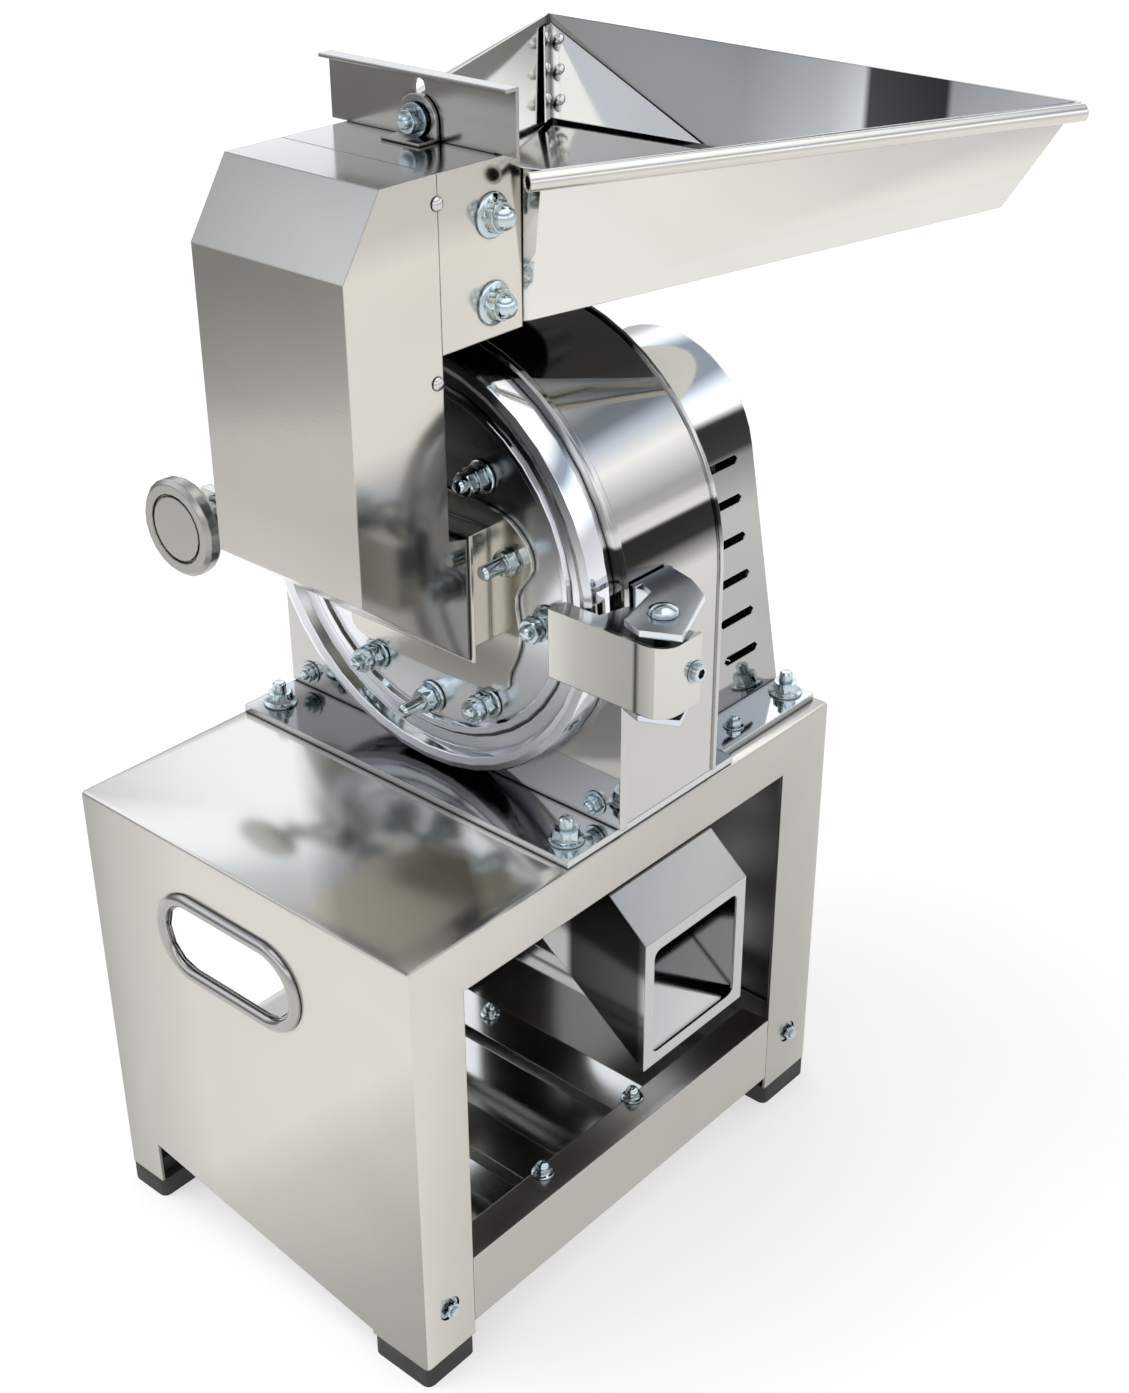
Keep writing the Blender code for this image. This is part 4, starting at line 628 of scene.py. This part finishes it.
def add_dome():
    """The backdrop: the upper half of a wide ball round the machine."""
    bm = bmesh.new()
    bmesh.ops.create_uvsphere(bm, u_segments=DOME_SEGMENTS, v_segments=DOME_RINGS,
                              radius=DOME_RADIUS)
    below = [vert for vert in bm.verts if vert.co.z < -DOME_LIFT]
    bmesh.ops.delete(bm, geom=below, context="VERTS")
    bmesh.ops.translate(bm, vec=(0, 0, DOME_LIFT), verts=bm.verts)
    only_reflected(mesh_object("backdrop", bm, dome_material()))


def seen_directly(tree):
    """One for camera, glossy and transmission rays, nought for the rays that light the object."""
    path = shader_node(tree, "LightPath", {})
    first = shader_node(tree, "Math", {0: path.outputs["Is Camera Ray"], 1: path.outputs["Is Glossy Ray"]},
                        operation="MAXIMUM")
    both = shader_node(tree, "Math", {0: first.outputs[0], 1: path.outputs["Is Transmission Ray"]},
                       operation="MAXIMUM")
    return both.outputs[0]


def add_floor():
    """A pale floor that looks white and keeps the machine's shadow."""
    bm = bmesh.new()
    bmesh.ops.create_grid(bm, x_segments=1, y_segments=1, size=FLOOR_SIZE)
    material, tree, shader = new_material("studio_floor")
    shader.inputs["Base Color"].default_value = (FLOOR_TONE, FLOOR_TONE, FLOOR_TONE, 1.0)
    shader.inputs["Roughness"].default_value = FLOOR_ROUGHNESS
    shader.inputs["Emission Color"].default_value = WHITE
    glow = shader_node(tree, "Math", {0: seen_directly(tree), 1: FLOOR_GLOW}, operation="MULTIPLY")
    tree.links.new(glow.outputs[0], shader.inputs["Emission Strength"])
    floor = mesh_object("floor", bm, material)
    bpy.context.scene.collection.objects.link(floor)


def add_world():
    """White where it is seen, and a softer level where it lights the machine."""
    world = bpy.data.worlds.new("studio")
    bpy.context.scene.world = world
    world.use_nodes = True
    tree = world.node_tree
    tree.nodes.clear()
    dim = shader_node(tree, "Background", {"Color": WHITE, "Strength": SURROUND_LEVEL})
    white = shader_node(tree, "Background", {"Color": WHITE, "Strength": 1.0})
    mixed = shader_node(tree, "MixShader", {"Fac": seen_directly(tree), 1: dim.outputs[0],
                                            2: white.outputs[0]})
    out = tree.nodes.new("ShaderNodeOutputWorld")
    tree.links.new(mixed.outputs[0], out.inputs["Surface"])


def add_sun(name, place, strength, spread):
    """A soft lamp that shines from a place to the middle and isn't mirrored in the metal."""
    data = bpy.data.lights.new(name, "SUN")
    data.energy = strength
    data.angle = math.radians(spread)
    lamp = bpy.data.objects.new(name, data)
    bpy.context.scene.collection.objects.link(lamp)
    lamp.location = place
    lamp.rotation_euler = (-Vector(place)).to_track_quat("-Z", "Y").to_euler()
    lamp.visible_glossy = False


def add_studio():
    """All that stands round the machine and lights it."""
    add_floor()
    add_world()
    add_sun("key", KEY_PLACE, KEY_STRENGTH, KEY_SPREAD)
    add_dome()


# Small fasteners: (shape, radius, height) rings in millimetres along the bolt, the steps round a
# ring, the degrees over which an edge stays sharp, and the angle that a side of a hexagon takes

RING_STEPS = 24
EDGE_ANGLE = 35.0
HEX_SIDE = math.radians(60)
PLAIN_NUT = (
    ("round", 6.0, -1.5), ("round", 10.1, -0.2), ("round", 10.8, 0.4), ("round", 10.8, 1.5),
    ("round", 7.2, 1.6), ("hex", 8.0, 2.3), ("hex", 8.0, 7.2), ("round", 7.2, 8.0), ("round", 4.5, 8.1),
    ("round", 4.4, 10.6), ("round", 3.2, 11.8), ("round", 0.6, 12.1),
)
STUD_TAIL = ("round", 4.0, -14.3)
DOUBLE_NUT = (
    ("round", 4.0, 0.0), ("round", 10.2, 0.0), ("round", 10.8, 0.4), ("round", 10.8, 1.5),
    ("round", 10.2, 2.0), ("round", 7.6, 2.1), ("hex", 8.6, 2.8), ("hex", 8.6, 8.0), ("round", 7.7, 8.8),
    ("round", 6.4, 8.9), ("round", 6.4, 9.2), ("round", 9.0, 9.3), ("round", 9.0, 10.4),
    ("round", 7.3, 10.5), ("hex", 8.2, 11.2), ("hex", 8.2, 16.4), ("round", 7.2, 17.2),
    ("round", 4.7, 17.3), ("round", 4.6, 20.6), ("round", 3.6, 22.0), ("round", 1.4, 22.7),
)
LONG_STUD = (
    ("round", 4.0, 0.0), ("round", 10.2, 0.0), ("round", 10.8, 0.4), ("round", 10.8, 1.5),
    ("round", 10.2, 2.0), ("round", 8.8, 2.1), ("round", 8.8, 3.4), ("round", 7.5, 3.5),
    ("hex", 8.6, 4.2), ("hex", 8.6, 10.6), ("round", 7.7, 11.4), ("round", 5.0, 11.5),
    ("round", 4.7, 12.0), ("round", 4.7, 27.2), ("round", 3.2, 29.0), ("round", 1.0, 29.4),
)
TABLE_NUT = (
    ("round", 9.0, -0.5), ("round", 11.3, -0.4), ("round", 11.5, 0.4), ("round", 11.4, 1.5),
    ("round", 9.4, 1.9), ("hex", 9.3, 2.5), ("hex", 8.8, 8.4), ("round", 7.9, 9.1), ("round", 4.6, 9.2),
    ("round", 4.6, 15.2), ("round", 3.4, 16.4), ("round", 0.8, 16.6),
)
DOME_NUT = (
    ("round", 9.0, -0.5), ("round", 12.8, -0.3), ("round", 13.0, 0.5), ("round", 12.8, 1.6),
    ("round", 11.8, 2.3), ("round", 9.4, 2.5), ("hex", 9.6, 3.1), ("hex", 9.5, 7.6), ("round", 8.6, 8.5),
    ("round", 7.3, 8.7), ("round", 7.2, 10.6), ("round", 6.4, 12.8), ("round", 5.0, 14.6),
    ("round", 3.0, 15.8), ("round", 0.8, 16.4),
)
SOCKET_BOLT = (
    ("round", 4.0, -1.5), ("round", 6.6, -0.2), ("round", 6.8, 0.2), ("round", 6.8, 1.2),
    ("round", 5.2, 1.3), ("round", 5.2, 4.8), ("round", 4.8, 5.3), ("hex", 3.2, 5.3), ("hex", 3.0, 2.2),
)
RIVET = (
    ("round", 2.0, -0.8), ("round", 3.9, -0.1), ("round", 4.2, 0.4), ("round", 3.6, 1.5),
    ("round", 2.4, 2.3), ("round", 0.9, 2.7), ("round", 0.3, 2.75),
)


def settled(name, bm, look, body):
    """A piece of a finished mesh, shaded smooth but for its edges, that rides on a body."""
    bmesh.ops.recalc_face_normals(bm, faces=bm.faces)
    obj = mesh_object(name, bm, look)
    obj.data.shade_smooth()
    obj.data.set_sharp_from_angle(angle=math.radians(EDGE_ANGLE))
    bpy.context.scene.collection.objects.link(obj)
    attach(obj, body)
    return obj


def stacked(name, rings, place, direction, body, look=ZINC, scale=1.0):
    """A turned or hexagonal fastener from rings along its direction, at a place on the bench."""
    bm = bmesh.new()
    loops = []
    for shape, radius, along in rings:
        loop = []
        for i in range(RING_STEPS):
            angle = math.tau * i / RING_STEPS
            reach = radius
            if shape == "hex":
                reach *= math.cos(HEX_SIDE / 2) / math.cos(angle % HEX_SIDE - HEX_SIDE / 2)
            loop.append(bm.verts.new((reach * math.cos(angle), reach * math.sin(angle), along)))
        loops.append(loop)
    bm.faces.new(loops[0])
    bm.faces.new(loops[-1])
    for low, high in zip(loops, loops[1:]):
        for i in range(RING_STEPS):
            j = (i + 1) % RING_STEPS
            bm.faces.new((low[i], low[j], high[j], high[i]))
    turn = direction.to_track_quat("Z", "Y").to_matrix().to_4x4()
    pose = Matrix.Translation(Vector(place) + BENCH) @ turn @ Matrix.Scale(scale / 1000, 4)
    bmesh.ops.transform(bm, matrix=pose, verts=bm.verts)
    return settled(name, bm, look, body)


def add_door_studs():
    """The door's studs with their nuts, in place of the plainer ones."""
    for places, rings in ((DOUBLE_STUDS, DOUBLE_NUT), (LONG_STUDS, LONG_STUD)):
        for word, (x, z) in places.items():
            stud = stacked(f"stud_{word}", (STUD_TAIL, *rings), (x, STUD_SEAT, z), FRONT, "door")
            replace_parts(stud, f"door_stud_{word}")


def add_stand_bolts():
    """Bolts at the legs, the table plates and the housing's foot on both sides, and on the crossbars."""
    for side, word, outward in SIDES:
        for i, y in enumerate(LEG_BOLT_YS):
            stacked(f"leg_bolt_{word}_{i}", PLAIN_NUT, (side * RAIL_TAB_FACE, y, LEG_BOLT_Z), outward,
                    "base", scale=LEG_BOLT_SCALE)
        for i, (x, y) in enumerate(TABLE_NUTS):
            stacked(f"table_nut_{word}_{i}", TABLE_NUT, (side * x, y, TABLE_PLATE_TOP), UP, "base")
        x, y = MOTOR_BOLT
        stacked(f"motor_bolt_{word}", PLAIN_NUT, (side * x, y, TABLE_PLATE_TOP), UP, "base",
                scale=MOTOR_BOLT_SCALE)
        x, y, z = HOUSING_BOLT
        stacked(f"housing_bolt_{word}", PLAIN_NUT, (side * x, y, z), FRONT, "base",
                scale=HOUSING_BOLT_SCALE)
    for i, (x, y) in enumerate(CROSSBAR_BOLTS):
        stacked(f"crossbar_bolt_{i}", DOME_NUT, (x, y, RAIL_TOP), UP, "base", scale=CROSSBAR_BOLT_SCALE)
    stacked("bar_bolt", DOME_NUT, BAR_BOLT, UP, "base", scale=CROSSBAR_BOLT_SCALE)


def add_feed_fasteners():
    """Nuts and rivets on both sides of the feed box, and the bolts of the gate and the hinge arm."""
    for side, word, outward in SIDES:
        for i, (x, y, z) in enumerate(THROAT_NUTS):
            stacked(f"throat_nut_{word}_{i}", DOME_NUT, (side * x, y, z), outward, "door")
        for i, (x, y, z) in enumerate(BOX_RIVETS):
            stacked(f"box_rivet_{word}_{i}", RIVET, (side * x, y, z), outward, "door", MIRROR)
    stacked("gate_bolt_head", PLAIN_NUT, GATE_BOLT, FRONT, "door", scale=GATE_BOLT_SCALE)
    stacked("hinge_arm_bolt", SOCKET_BOLT, HINGE_BOLT, RIGHT, "door")


def add_corner_rivets():
    """Three rivets on each side of the fold of both folded hopper corners."""
    for side, word in ((-1, "left"), (1, "right")):
        mirror = Vector((side, 1, 1))
        points = (FOLD_TOP, FOLD_FOOT, TRIANGLE_FOOT, STRIP_SIDEWAYS)
        top, foot, far, sideways = (point * mirror for point in points)
        fold = (foot - top).normalized()
        corner = frame["nodes"][f"hopper_corner_{word}"]
        for leaf, along in (("strip", sideways), ("triangle", far - top)):
            across = (along - fold * along.dot(fold)).normalized()
            normal = fold.cross(across)
            if normal.dot(HOPPER_MIDDLE - top) < 0:
                normal.negate()
            for i, share in enumerate(RIVET_SHARES):
                place = top.lerp(foot, share) + across * RIVET_INSET
                start = place + BENCH + normal * RIVET_INSET
                hit, seat, outward, _ = corner.ray_cast(start, -normal)
                if hit:
                    stacked(f"corner_rivet_{word}_{leaf}_{i}", RIVET, seat - BENCH, outward, "door",
                            MIRROR)


def on_bench(name, bm, look, body):
    """A piece of a mesh that was built at its place on the bench."""
    bmesh.ops.translate(bm, vec=BENCH, verts=bm.verts)
    return settled(name, bm, look, body)


def add_slot_rims():
    """A smooth half-round rim round each hand slot, in place of the coarser one."""
    for word, face, outward in SLOT_FACES:
        bm = bmesh.new()
        loops = []
        for i in range(RIM_STEPS):
            angle = math.tau * (i + 0.5) / RIM_STEPS
            middle = SLOT_MIDDLE[0] + math.copysign(RIM_STRAIGHT, math.cos(angle))
            loop = []
            for k in range(RIM_ARC_STEPS + 1):
                turn = math.pi * k / RIM_ARC_STEPS
                reach = RIM_RADIUS + RIM_ROUND * math.cos(turn)
                loop.append(bm.verts.new((middle + reach * math.cos(angle),
                                          face + outward * RIM_ROUND * math.sin(turn),
                                          SLOT_MIDDLE[1] + reach * math.sin(angle))))
            loops.append(loop)
        for here, there in zip(loops, loops[1:] + loops[:1]):
            for k in range(RIM_ARC_STEPS + 1):
                after = (k + 1) % (RIM_ARC_STEPS + 1)
                bm.faces.new((here[k], here[after], there[after], there[k]))
        rim = on_bench(f"slot_rim_{word}", bm, SLOT_RIM, "base")
        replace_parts(rim, f"{word}_handle_ring")


def bend(radius):
    """Plan points of the arm's rounded corner."""
    x, y = ARM_BEND
    return [(x + radius * math.cos(angle), y + radius * math.sin(angle))
            for angle in (math.radians(-90 + 90 * i / BEND_STEPS) for i in range(BEND_STEPS + 1))]


def along_arm(radius):
    """Plan points of a line that follows the arm at a distance from the middle of its bend."""
    x, y = ARM_BEND
    return [(ARM_START, y - radius), *bend(radius), (x + radius, ARM_END)]


def upright(bm, outline, low, high):
    """A closed upright prism over a plan outline."""
    foot, head = ([bm.verts.new((x, y, z)) for x, y in outline] for z in (low, high))
    bm.faces.new(foot)
    bm.faces.new(head)
    for i in range(len(outline)):
        j = (i + 1) % len(outline)
        bm.faces.new((foot[i], foot[j], head[j], head[i]))


def add_hinge_arm():
    """The hinge arm with its rounded bend: sheet wrapped round a channel."""
    bm = bmesh.new()
    upright(bm, along_arm(WRAP_OUTER) + along_arm(WRAP_INNER)[::-1], *WRAP_Z)
    slant_foot, slant_head = CHANNEL_SLANT
    back = [(slant_head, ARM_END), (slant_foot, CHANNEL_BACK), (ARM_START, CHANNEL_BACK)]
    upright(bm, along_arm(CHANNEL_REACH) + back, *CHANNEL_Z)
    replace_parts(on_bench("arm", bm, ARM_STEEL, "door"), "hinge_arm")


def add_tray_edge():
    """The tray's rear strip, which closes the gap to the rear panel and turns up behind it."""
    bm = bmesh.new()
    left, right = -TRAY_HALF, TRAY_HALF
    for near, far, low, high in TRAY_EDGE:
        upright(bm, [(left, near), (right, near), (right, far), (left, far)], low, high)
    on_bench("tray_rear_edge", bm, TRAY_STEEL, "base")


add_camera()
add_studio()
dress_nodes()
add_door_studs()
add_stand_bolts()
add_feed_fasteners()
add_corner_rivets()
add_slot_rims()
add_hinge_arm()
add_tray_edge()
smooth_nodes()

scene = bpy.context.scene
scene.view_settings.view_transform = "Standard"
